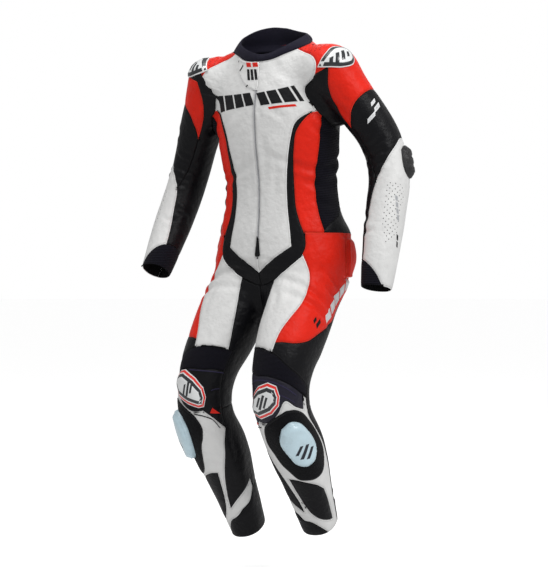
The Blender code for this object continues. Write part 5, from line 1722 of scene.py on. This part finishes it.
# %% Plastic, printed colour and hook-and-loop
def plastic(name, colour, rough, coat=0.3):
    """Moulded plastic: faint orange peel, fine scratches and a tone that drifts."""
    made, tree, place = new_look(name)
    peel = noise_of(tree, place, 420.0)
    cloud = noise_of(tree, place, 30.0, 3.0)
    long = add(tree, "Mapping", {"Vector": place, "Scale": (1.0, 0.25, 0.08)}).outputs[0]
    scratch = ramp(tree, noise_of(tree, long, 900.0, 3.0), 0.66, 0.74)
    base = toned(tree, (*colour,), ramp(tree, cloud, 0.3, 0.7, 0.94, 1.04))
    base = blend(tree, maths(tree, "MULTIPLY", scratch, 0.10), base, (0.5, 0.5, 0.5, 1))
    normal = bump(tree, peel, 0.0003)
    normal = bump(tree, scratch, 0.00006, normal)
    gloss = maths(tree, "ADD", ramp(tree, cloud, 0.3, 0.7, rough - 0.04, rough + 0.06),
                  maths(tree, "MULTIPLY", scratch, 0.15))
    finish_shader(tree, base, gloss, normal, Coat_Weight=coat, Coat_Roughness=0.15)
    return made


def hooked(name, colour):
    """Hook-and-loop: a dense field of small loops."""
    made, tree, place = new_look(name)
    loops = grain_of(tree, place, 700)
    tufts = noise_of(tree, place, 160.0, 4.0)
    base = toned(tree, (*colour,), ramp(tree, tufts, 0.3, 0.7, 0.7, 1.4))
    normal = bump(tree, tufts, 0.0012)
    normal = bump(tree, loops, 0.0006, normal)
    gloss = ramp(tree, loops, 0.0, 0.5, 0.95, 0.75)
    finish_shader(tree, base, gloss, normal, Sheen_Weight=0.06, Specular_IOR_Level=0.1)
    return made


def moulded(name, colour, pitch):
    """Rubbery plastic with a moulded pattern of small pads, painted darker in the grooves between
    them as painted shade.
    """
    made, tree, place = new_look(name)
    pads = add(tree, "TexVoronoi", {"Vector": place, "Scale": 1 / pitch},
               feature="DISTANCE_TO_EDGE").outputs["Distance"]
    pad = ramp(tree, pads, 0.04, 0.16)
    grain = noise_of(tree, place, 500.0)
    # painted shade: the colour falls to 0.45 in the grooves between the raised pads
    base = toned(tree, (*colour,), ramp(tree, pad, 0.0, 1.0, 0.45, 1.0))
    normal = bump(tree, pad, 0.0009)
    normal = bump(tree, grain, 0.00012, normal)
    gloss = ramp(tree, grain, 0.3, 0.7, 0.42, 0.56)
    finish_shader(tree, base, gloss, normal, Specular_IOR_Level=0.5)
    return made


WHITE_PART = plastic("armour_white", rgb(228, 230, 230), 0.30)
RED_PART = plastic("armour_red", rgb(222, 44, 36), 0.30)
DARK_PART = plastic("armour_dark", rgb(30, 34, 38), 0.32)
PUCK_PART = plastic("puck_pale", rgb(196, 220, 230), 0.30, 0.3)
PUCK_SLOT = plastic("puck_slot", rgb(20, 26, 40), 0.45, 0.0)
ELBOW_PART = moulded("elbow_dark", rgb(34, 34, 36), 0.0042)
HOOKS = hooked("hook_and_loop", rgb(9, 9, 12))
print("plastics ready")

# %% [markdown]
# ## Shoulder, elbow and knee armour
# A shoulder cup is a shallow shell with a pale rim, a dark band, and a raised pattern of slanted
# bars. The knee cup has one ring more, in red. The elbow slider is a hump with a moulded grip.

# %% Cups and elbow sliders
def bars(chart, centre, turn, rows):
    """Slanted bars about a centre: x, y, length, height and lean of each in millimetres."""
    made = []
    c, s = math.cos(math.radians(turn)), math.sin(math.radians(turn))
    for x, y, length, height, lean in rows:
        corners = [(-1, -1), (1, -1), (1, 1), (-1, 1)]
        local = [(x + i * length / 2 - j * lean / 2, y + j * height / 2) for i, j in corners]
        turned = [(c * px - s * py, s * px + c * py) for px, py in local]
        made.append([(centre[0] + px / 1000 / chart.scale[0], centre[1] + py / 1000)
                     for px, py in turned])
    return made


def marks_of(chart, centre, turn, rows, kind, rise, edge=FINE):
    return [(corners_to_line(bar, chart, edge), kind, rise)
            for bar in bars(chart, centre, turn, rows)]


CUP = path("-8 -28, 10 -39, 32 -46, 55 -50, 82 -42, 100 -20, 94 4, 68 18, 41 10, 17 -9, -8 -28")
CUP_RINGS = [(0.0024, 2), (0.0112, 1), (0.0130, 1)]
CUP_BARS = [(-18, 2, 9, 17, 7), (-3, 0, 9, 24, 9), (12, -2, 9, 24, 9), (26, -2, 7, 14, 6)]
KNEE_CUPS = {
    "left": "-37 362, -28 338, -14 326, 7 319.5, 23 325, 29 343, 26 360, 12 374, -14 384, -33 379",
    "right":
        "13 313.5, -12 326.5, -30 344, -36 364, -32 384, -22 386, 0 379, 24 367, 38 345, "
        "34 325, 24 316",
}
KNEE_RINGS = [(0.0014, 2), (0.0060, 1), (0.0082, 3), (0.0146, 1)]
KNEE_BARS = {
    "left": [(-12, 2, 6, 18, 7), (-2, 0, 7, 27, 9), (9, -2, 6, 20, 7)],
    "right": [(-11, 0, 6, 18, -7), (-1, 0, 7, 27, -9), (10, 0, 6, 20, -7)],
}
CUP_CENTRE, KNEE_CENTRE = (46.0, -0.016), {"left": (-3, 0.353), "right": (-1, 0.350)}
ELBOW = path("77 262, 92 254, 115 252, 136 262, 146 285, 140 308, 118 324, 94 322, 80 312, "
             "74 290, 77 262")
ELBOW_LOBES = [
    "84 264, 108 260, 132 266, 134 274, 108 272, 82 276",
    "80 282, 108 278, 137 280, 138 291, 108 292, 79 294",
    "83 300, 108 298, 134 298, 126 311, 106 314, 88 311",
]
CUP_DOME, KNEE_DOME = dome(0.0003, 0.0066, 0.014, 0.35), dome(0.0003, 0.0105, 0.018)
ELBOW_DOME, ELBOW_RING, LOBE_RISE, BAR_RISE = dome(0.0003, 0.0125, 0.013), 0.0050, 0.0018, 0.0009
for side in SIDES:
    arm, leg = ARM_CHARTS[side], LEG_CHARTS[side]
    turn = np.array([CUP_TURN[side], 0])
    cup = lifted(outline([CUP], arm, FINE), "arm", side) + turn
    middle = lifted(np.array([CUP_CENTRE]), "arm", side)[0] + turn
    marks = marks_of(arm, middle, 16, CUP_BARS, 2, BAR_RISE)
    mesh = lay_on(arm, cup, LOW, CUP_DOME, CUP_RINGS, marks)
    looks = [WHITE_PART, WHITE_PART, DARK_PART]
    finish_piece(f"shoulder_cup_{side}_shell", mesh, looks, "armour", f"shoulder_cup_{side}")
    marks = marks_of(leg, KNEE_CENTRE[side], 12, KNEE_BARS[side], 3, BAR_RISE)
    line = corners_to_line(path(KNEE_CUPS[side]), leg, FINE)
    mesh = lay_on(leg, line, LOW, KNEE_DOME, KNEE_RINGS, marks)
    looks = [WHITE_PART, WHITE_PART, RED_PART, DARK_PART]
    finish_piece(f"knee_cup_{side}_shell", mesh, looks, "armour", f"knee_cup_{side}")
    lobes = [(corners_to_line(path(lobe), arm, FINE), 0, LOBE_RISE) for lobe in ELBOW_LOBES]
    mesh = lay_on(arm, outline([ELBOW], arm, FINE), LOW, ELBOW_DOME, [(ELBOW_RING, 0)], lobes)
    finish_piece(f"elbow_slider_{side}_hump", mesh, [ELBOW_PART], "armour", f"elbow_slider_{side}")

# %% [markdown]
# ## Knee sliders
# The puck sits on a wide dark patch of hook-and-loop whose edge is bound. It is thick plastic,
# pale and a little blue, with a step round its side and slots moulded through its face.

# %% Patches and pucks
PATCH_OUTER = path("38 371, 56 373, 76 387, 95 422, 106 473, 105 530, 92 564, 62 577, 42 574")
PATCHES_OF = {
    "left": "20 566, 3 540, -9 519.6, -20 476, -24 455, -22 430, -14 403.4, 10 384, 38 371",
    "right": "28 558, 12 518, -3 476.5, -16 452, -21 432, -13 407, 8 388, 38 371",
}
PUCK = path("23 405, 42 395, 60 403, 76 440, 78 490, 68 516, 50 524, 33 512, 21 480, 14 428, "
            "23 405")
PUCK_BARS = [(-12, 4, 8, 26, 10), (2, 10, 9, 38, 12), (16, 16, 8, 30, 10)]


def puck_height(gap):
    """Steep sides with a step half way up, then a full face."""
    side = 0.0090 * np.sin(np.clip(gap / 0.0045, 0, 1) * math.pi / 2)
    step = 0.0075 * np.sin(np.clip((gap - 0.0060) / 0.0100, 0, 1) * math.pi / 2)
    return 0.0026 + 0.0020 + side + step


patches = {}
for side in SIDES:
    leg = LEG_CHARTS[side]
    line = outline([PATCH_OUTER + path(PATCHES_OF[side])], leg, FINE)
    mesh = lay_on(leg, line, LOW, slab(0.0003, 0.0020), [(0.0045, 1)])
    areas[f"slider_patch_{side}"] = area_of(mesh) / 2
    patches[side] = finish_piece(f"slider_patch_{side}_loops", mesh,
                                 [LOOKS["black_leather"], HOOKS], "black_leather",
                                 f"slider_patch_{side}")
    marks = marks_of(leg, (52, 0.462), 14, PUCK_BARS, 1, -0.0022)
    mesh = lay_on(leg, outline([PUCK], leg, FINE), 0.0024, puck_height, [(0.0055, 0)], marks)
    finish_piece(f"knee_slider_{side}_puck", mesh, [PUCK_PART, PUCK_SLOT], "puck",
                 f"knee_slider_{side}")

# %% [markdown]
# ## Collar
# The collar is a soft padded band of stretch cloth. Its top edge rolls over to the inside and
# its two ends meet in a short upright seam at the front. It is built as rings that go up the
# outside, over the roll and down the inside.

# %% Collar
COLLAR_STEPS, COLLAR_ROWS, ROLL_ROWS = 150, 14, 6
PUFF, ROLL = 0.0030, 0.0026  # how far the band bulges, and the radius of its rolled edge
# how far the facing reaches below the band, as a share of its height, and how far it hangs in
FACING, HANG = -0.45, 0.035


def band_point(uv):
    points = NECK_CHART.place(uv)
    return points, out_of(points)


def collar_mesh():
    angles = np.linspace(-180, 180, COLLAR_STEPS, endpoint=False)
    base, rim = (hermite(rows, angles)[:, 0] for rows in (COLLAR_BASE, COLLAR_RIM))
    nick = 0.75 * np.exp(-(((angles + 2) * NECK_SCALE / 0.0030) ** 2))
    rings = []
    for share in np.linspace(0, 1, COLLAR_ROWS):
        points, normals = band_point(np.column_stack([angles, base + (rim - base) * share]))
        puff = PUFF * np.sin(np.pi * min(share * 1.05, 1)) ** 0.7 * (1 - nick)
        rings.append(points + normals * (puff - 0.0008 * (share == 0))[:, None])
    points, normals = band_point(np.column_stack([angles, rim]))
    below, _ = band_point(np.column_stack([angles, rim - 0.01 * np.sign(rim - base)]))
    up = unit(points - below)
    ways = [i * math.pi / ROLL_ROWS for i in range(1, ROLL_ROWS + 1)]
    rings += [points + normals * ROLL * (math.cos(a) - 1) + up * ROLL * math.sin(a) for a in ways]
    for share in np.linspace(0.9, FACING, 7):
        points, normals = band_point(np.column_stack([angles, base + (rim - base) * share]))
        inwards = 2 * ROLL * max(0.56, min(1, 0.4 + share)) + HANG * max(0, -share)
        rings.append(points - normals * inwards)
    rings = np.array(rings)
    mesh = bmesh.new()
    cloth = mesh.loops.layers.uv.new("cloth")
    gap_layer = mesh.verts.layers.float.new("edge_gap")
    for name in ("edge_run", "vents"):
        mesh.verts.layers.float.new(name)
    rows = [[mesh.verts.new(p) for p in ring] for ring in rings]
    for k, row in enumerate(rows):
        # the foot ring counts as lying on a seam, so the ribbed cloth darkens it: painted shade
        # where the collar meets the suit
        for vert in row:
            vert[gap_layer] = min(0.02, 0.045 * k / COLLAR_ROWS)
    around = angles * NECK_SCALE
    for k, (lower, upper) in enumerate(zip(rows, rows[1:] + rows[:1])):
        for i in range(COLLAR_STEPS):
            j = (i + 1) % COLLAR_STEPS
            face = mesh.faces.new([lower[i], lower[j], upper[j], upper[i]])
            far = around[i] + 360 / COLLAR_STEPS * NECK_SCALE
            corners = [(around[i], k), (far, k), (far, k + 1), (around[i], k + 1)]
            for loop, (x, y) in zip(face.loops, corners):
                loop[cloth].uv = (x, y * 0.0035)
    bmesh.ops.recalc_face_normals(mesh, faces=mesh.faces)
    lengths = np.linalg.norm(np.diff(rings, axis=1, append=rings[:, :1]), axis=2).sum(1)
    return mesh, float(lengths.max()), float(area_of(mesh) / 2 / lengths.mean())


mesh, COLLAR_GIRTH, COLLAR_HEIGHT = collar_mesh()
print("collar:", shut(mesh), "volume, cm3:", round(mesh.calc_volume() * 1e6, 1))
areas["collar"] = area_of(mesh) / 2
panels["collar"] = shown("collar_band", mesh, [LOOKS["collar_trim"]])
stand_for(panels["collar"], "collar_trim", "collar")

# %% [markdown]
# ## Zip
# The front closes with a zip from the neck down to the lower belly. Its moulded teeth sit on two
# tapes that are sewn under the leather's edges. They are set left and right in turn and grip
# between each other. The slider stays closed, its pull tab hanging at the lower end.

# %% Zip
TOOTH_PITCH, TOOTH = 0.0030, (0.0021, 0.0016, 0.0013)  # width, height and depth of a tooth
TAPE_HALF, TAPE_DEEP = 2.6, -0.0030  # in degrees, and how far under the leather


def box_at(mesh, centre, frame_axes, sizes, kind):
    """A plain block along the given axes, its faces set to the material kind."""
    made = bmesh.ops.create_cube(mesh, size=1)["verts"]
    x, y, z = (Vector(a) for a in frame_axes)
    for vert in made:
        local = [c * size for c, size in zip(vert.co, sizes)]
        vert.co = Vector(centre) + x * local[0] + y * local[1] + z * local[2]
    for face in {face for vert in made for face in vert.link_faces}:
        face.material_index = kind


def zip_line(start, end, pitch):
    fine = np.arange(start, end, -0.002)
    points, _ = ground_of(TRUNK_CHART, np.column_stack([0 * fine, fine]))
    along = np.concatenate([[0], np.cumsum(np.linalg.norm(np.diff(points, axis=0), axis=1))])
    stations = np.interp(np.arange(0, along[-1], pitch), along, fine)
    return np.column_stack([0 * stations, stations])


collar_foot = domains[0][3][0][3].line()[1][::-1]
zip_top = float(np.interp(0, *collar_foot.T)) - 0.004
line = zip_line(zip_top, ZIP_END + 0.001, TOOTH_PITCH / 2)
places, normals = ground_of(TRUNK_CHART, line)
mesh = bmesh.new()
for k, (place, normal) in enumerate(zip(places, normals)):
    down = Vector(places[min(k + 1, len(places) - 1)] - places[max(k - 1, 0)]).normalized()
    out = Vector(normal)
    across = down.cross(out).normalized()
    shift = across * (0.00075 if k % 2 else -0.00075)
    box_at(mesh, Vector(place) - out * 0.0006 + shift, (across, down, out),
           TOOTH, 0)
tape_uv = [line + np.array([TAPE_HALF * side, 0]) for side in (-1, -0.33, 0.33, 1)]
rows = []
for uv in tape_uv:
    points, outs = ground_of(TRUNK_CHART, uv[::4])
    rows.append([[mesh.verts.new(p + n * deep) for p, n in zip(points, outs)]
                 for deep in (TAPE_DEEP, TAPE_DEEP - 0.0008)])
ring = [row[0] for row in rows] + [row[1] for row in rows[::-1]]
for lower, upper in zip(ring, ring[1:] + ring[:1]):
    for i in range(len(lower) - 1):
        mesh.faces.new([lower[i], lower[i + 1], upper[i + 1], upper[i]]).material_index = 1
for end in (0, -1):
    mesh.faces.new([row[end] for row in ring]).material_index = 1
bmesh.ops.recalc_face_normals(mesh, faces=mesh.faces)
for name in ("edge_gap", "edge_run", "vents"):
    mesh.verts.layers.float.new(name)
for vert in mesh.verts:
    vert[mesh.verts.layers.float["edge_gap"]] = GAP_SHOWN
mesh.loops.layers.uv.new("cloth")
print("teeth:", len(line), shut(mesh))
TEETH = plastic("zip_teeth", rgb(176, 177, 180), 0.38, 0.0)
# the tape's second colour is the painted shade in its rib grooves
LOOKS["zip_tape"] = ribbed("zip_tape", rgb(150, 150, 152), rgb(120, 120, 122), 2, 0.0016)
zip_piece = shown("zip_teeth_and_tape", mesh, [TEETH, LOOKS["zip_tape"]], smooth_faces=False)
stand_for(zip_piece, "zip_teeth", "zip")

# %% [markdown]
# ## Neck flap
# A leather flap closes over the top of the zip, from the left front to the right side of the
# throat. Three black bar tacks, short blocks of dense stitching, hold it where it is pulled.

# %% Neck flap and pull tab
def under_collar(angle):
    return (angle, float(np.interp(angle, *collar_foot.T)) - 0.0015)


FLAP_SIDE = path("3 -74, -6 -70, -20 -52, -32 -30, -41 -8")
flap_end = under_collar(-42)
flap_top = [under_collar(angle) for angle in (-42, -30, -20, -10, 3)]
strokes = [[flap_top[-1], FLAP_SIDE[0]], [*FLAP_SIDE, flap_end], flap_top]
mesh = lay_on(TRUNK_CHART, outline(strokes, TRUNK_CHART, FINE), 0.0002, slab(0.0003, 0.0018))
areas["neck_flap"] = area_of(mesh) / 2
flap = finish_piece("neck_flap_leather", mesh, [LOOKS["white_leather"]], "white_leather",
                    "neck_flap")
TAB = path("-0.4 -474, 1.6 -482, 4.6 -525, 3.4 -528.5, -1.4 -528.5, -2.4 -525")
mesh = lay_on(TRUNK_CHART, corners_to_line(TAB, TRUNK_CHART, FINE), 0.0006,
              slab(0.0010, 0.0030, 0.002))
finish_piece("zip_pull_tab", mesh, [LOOKS["black_leather"]], "black_leather")

# %% [markdown]
# ## Shapes and strips
# Coloured shapes are cut from thin leather and sewn on. Their layout here is a plain pattern of
# slanted blocks. Strips of piping run across the knees, their lighter navy a painted highlight on
# the raised piping, and short black ones are the tacks.

# %% Shapes sewn on
SHAPES = [("shape_black", rgb(18, 18, 21), "black_leather"),
          ("shape_red", rgb(222, 40, 26), "red_leather"),
          ("shape_white", rgb(226, 227, 228), "white_leather"),
          ("shape_grey", rgb(176, 178, 181), "white_leather"),
          # lighter than the knee panels, this navy is a painted highlight along the raised knee
          # piping
          ("shape_navy_painted_highlight", rgb(44, 40, 66), "black_leather")]
PLAIN = {name: leather(name, tint, 0.45, tint, tint, shine=0.2) for name, tint, _ in SHAPES}
SHAPE_SLOT = {name: slot for name, _, slot in SHAPES}
# name, chart, look, centre, turn and blocks: x, y, length, height and lean in mm
BLOCKS = [
    ("chest_blocks_right", "trunk", "shape_black", (-34, -0.108), 3,
     [(-62, 0, 22, 46, 20), (-26, 0, 36, 46, 20), (17, 0, 36, 46, 20), (60, 0, 36, 46, 20)]),
    ("chest_blocks_left", "trunk", "shape_black", (30, -0.104), 3,
     [(-47, 0, 36, 46, 20), (-4, 0, 36, 46, 20), (38, 0, 34, 46, 20), (66, 0, 10, 46, 20)]),
    ("chest_line", "trunk", "shape_red", (37, -0.136), 3, [(0, 0, 84, 6, 3)]),
    ("flap_block_red", "trunk", "shape_red", (-10, 0.005), 0,
     [(-20, 0, 26, 9, 5), (16, 0, 26, 9, 5)]),
    ("flap_blocks_black", "trunk", "shape_black", (-9, -0.021), 0,
     [(-18, 0, 13, 32, 12), (1, 0, 13, 32, 12), (20, 0, 13, 32, 12)]),
    ("upper_arm_blocks", "arm", "shape_white", (46, 0.146), -14,
     [(-18, 7, 28, 9, 9), (14, 1, 26, 10, 9), (16, -15, 20, 8, 7)]),
    ("forearm_blocks_grey", "arm", "shape_grey", (62, 0.420), 76,
     [(-34, 0, 13, 7, 4), (-17, 0, 13, 7, 4), (0, 0, 13, 7, 4), (17, 0, 13, 7, 4)]),
    ("forearm_blocks_black", "arm", "shape_black", (78, 0.492), 78,
     [(-6, 0, 13, 7, 4), (12, 0, 14, 6, 4)]),
    ("thigh_blocks_white", "leg", "shape_white", (104, 0.062), 104,
     [(-76, 0, 26, 22, 11), (-44, 0, 26, 22, 11), (-12, 0, 26, 22, 11), (20, 0, 26, 22, 11),
      (54, -2, 28, 20, 10)]),
    ("thigh_blocks_black", "leg", "shape_black", (76, 0.160), 104,
     [(0, 0, 22, 9, 6), (2, 14, 14, 7, 5)]),
    ("tack_top", "trunk", "shape_black", (-41, 0.008), 0, [(0, 0, 15, 3, 0)]),
    ("tack_side", "trunk", "shape_black", (-33, -0.004), 42, [(0, 0, 22, 4, 0)]),
    ("tack_end", "trunk", "shape_black", (-16, -0.0565), 40, [(0, 0, 10, 4, 0)]),
]
# name, look, line and width in mm
# the knee pipes are raised strips whose lighter navy is a painted highlight
STRIPS = [
    ("knee_pipe_high_left", "shape_navy_painted_highlight",
     "-44 322, -30 317.5, -6 316, 23 321, 45 331, 62 343", 2.2),
    ("knee_pipe_low_left", "shape_navy_painted_highlight",
     "30 341, 44 348, 58 358", 2.0),
    ("knee_pipe_high_right", "shape_navy_painted_highlight",
     "-66 304, -40 308, -12 312, 4 313", 2.2),
    ("knee_pipe_low_right", "shape_navy_painted_highlight",
     "-64 344, -54 346, -46 350", 2.0),
    ("shin_line_right", "shape_black",
     "-10 398.5, -30 405, -46 416, -58 442", 2.2),
    ("shin_line_left", "shape_black",
     "-24 404, -40 409, -56 420, -66 446", 2.2),
]
HIP_PAD_EDGE = path("69 -94, 73 -79, 76 -64, 81 -50, 87 -38, 95 -28, 103 -18, 115 -31, 127 -44, "
                    "122 -62, 116 -80, 108 -100, 98 -118, 88 -116, 78 -106")
HIP_DOME = dome(0.0004, 0.0040, 0.006, 0.4)
PATCHES = {
    "knee_corner_right": "-49 388.5, -43 400, -65 406",
    "knee_corner_left": "-47 396, -40 404, -60 411",
}


def merged(parts):
    """Several bmeshes as one."""
    whole, store = bmesh.new(), bpy.data.meshes.new("store")
    for part in parts:
        part.to_mesh(store)
        part.free()
        whole.from_mesh(store)
    bpy.data.meshes.remove(store)
    return whole


def strip_line(rows, chart, width):
    line = smooth(rows, chart, FINE) * chart.scale
    ahead = unit(np.gradient(line, axis=0))
    across = np.column_stack([-ahead[:, 1], ahead[:, 0]]) * width / 2000
    return np.concatenate([line + across, (line - across)[::-1]]) / chart.scale


def level_of(name):
    """How high a shape lies: those on the flap lie on top of it."""
    return 0.0022 if name.startswith(("flap", "tack_side", "tack_end")) else 0.0002


for name, kind, look, centre, turn, rows in BLOCKS:
    chart, _ = chart_of(kind, "left")
    lines = [corners_to_line(bar, chart, FINE) for bar in bars(chart, centre, turn, rows)]
    parts = [lay_on(chart, line, level_of(name) - LOW, slab(level_of(name), 0.0007))
             for line in lines]
    finish_piece(name, merged(parts), [PLAIN[look]], SHAPE_SLOT[look])
for name, look, rows, width in STRIPS:
    chart = LEG_CHARTS[name.split("_")[-1]]
    mesh = lay_on(chart, strip_line(path(rows), chart, width), 0.0, slab(0.0001, 0.0012))
    finish_piece(name, mesh, [PLAIN[look]], SHAPE_SLOT[look])
for name, rows in PATCHES.items():
    chart = LEG_CHARTS[name.split("_")[-1]]
    mesh = lay_on(chart, corners_to_line(path(rows), chart, FINE), 0.0, slab(0.0002, 0.0010))
    finish_piece(name, mesh, [PLAIN["shape_red"]], "red_leather")
for side, chart in LEG_CHARTS.items():
    mesh = lay_on(chart, corners_to_line(HIP_PAD_EDGE, chart, FINE), 0.0, HIP_DOME)
    name = f"hip_pad_{side}"
    finish_piece(name, mesh, [LOOKS["red_leather"]], "red_leather")

# %% [markdown]
# ## The flat cuts
# Each panel's flat cut, its width and length, is worked out here. A chart holds the cloth's own
# lengths to within a few hundredths, so a panel's cut is the smallest rectangle round its outline
# there, corrected to the cloth's measured area. Only the front stripes, which are narrow bent
# bands, are measured along their bend. On the suit the leather panels hang from the shoulders and
# the ribbed inserts are cut a little smaller and stretched when they are sewn in; here the loop
# only tells which panels are hung and which stretched, and the sizes are not kept.

# %% Sheets
BENT_STRIPS, STRIP_SPARE = ("front_stripe",), 1.25  # widest part, as a share of the mean


def snug(points):
    """Width and length of the smallest rectangle round flat points."""
    best = None
    for turn in np.radians(np.arange(0, 90, 3)):
        c, s = math.cos(turn), math.sin(turn)
        spans = np.ptp(points @ np.array([[c, -s], [s, c]]), axis=0)
        if best is None or spans.prod() < best.prod():
            best = spans
    return np.sort(best)


def flat_area(corners):
    a, b = corners[:, 1] - corners[:, 0], corners[:, 2] - corners[:, 0]
    return float(np.abs(a[:, 0] * b[:, 1] - a[:, 1] * b[:, 0]).sum() / 2)


def rim_length(picked):
    """How long the outline is that these triangles share."""
    faces = skin_faces[picked]
    edges = np.sort(np.concatenate([faces[:, [0, 1]], faces[:, [1, 2]], faces[:, [2, 0]]]), axis=1)
    edges, uses = np.unique(edges, axis=0, return_counts=True)
    ends = folded[edges[uses == 1]]
    return float(np.linalg.norm(ends[:, 0] - ends[:, 1], axis=1).sum())


def cut_of_panel(name):
    """A panel's flat width and length. One on two charts is as long as both of its parts, and a
    bent strip is measured along its bend."""
    picked = skin_names == name
    kinds = np.array([kind for kind, _ in skin_homes])
    parts = []
    for kind in sorted(set(kinds[picked])):
        part = skin_cloth[picked & (kinds == kind)].copy()
        girth = 360 * chart_of(kind, "left")[0].scale[0]
        if np.ptp(part[..., 0]) > 0.75 * girth:  # the panel lies over the chart's edge
            part[part[..., 0].mean(1) < 0, :, 0] += girth
        parts.append(part)
    sizes = np.array([snug(part.reshape(-1, 2)) for part in parts])
    grown = math.sqrt(areas[name] / sum(flat_area(part) for part in parts))
    width, length = sizes[:, 0].max() * grown, sizes[:, 1].sum() * grown
    if base_of(name) in BENT_STRIPS:
        length = rim_length(picked) / 2
        width = areas[name] / length * STRIP_SPARE
    return width, length


def cut_of_top(thing):
    cloth = np.empty(len(thing.data.loops) * 2)
    thing.data.uv_layers["cloth"].data.foreach_get("uv", cloth)
    return snug(cloth.reshape(-1, 2))


for name in sorted(set(skin_names) - {"zip", "collar"}):
    held = "stretched" if SLOT_OF.get(base_of(name)) == "stretch" else "hung"
    cut_of_panel(name)
cut_of_top(flap)
for side in SIDES:
    name = f"slider_patch_{side}"
    cut_of_top(patches[side])
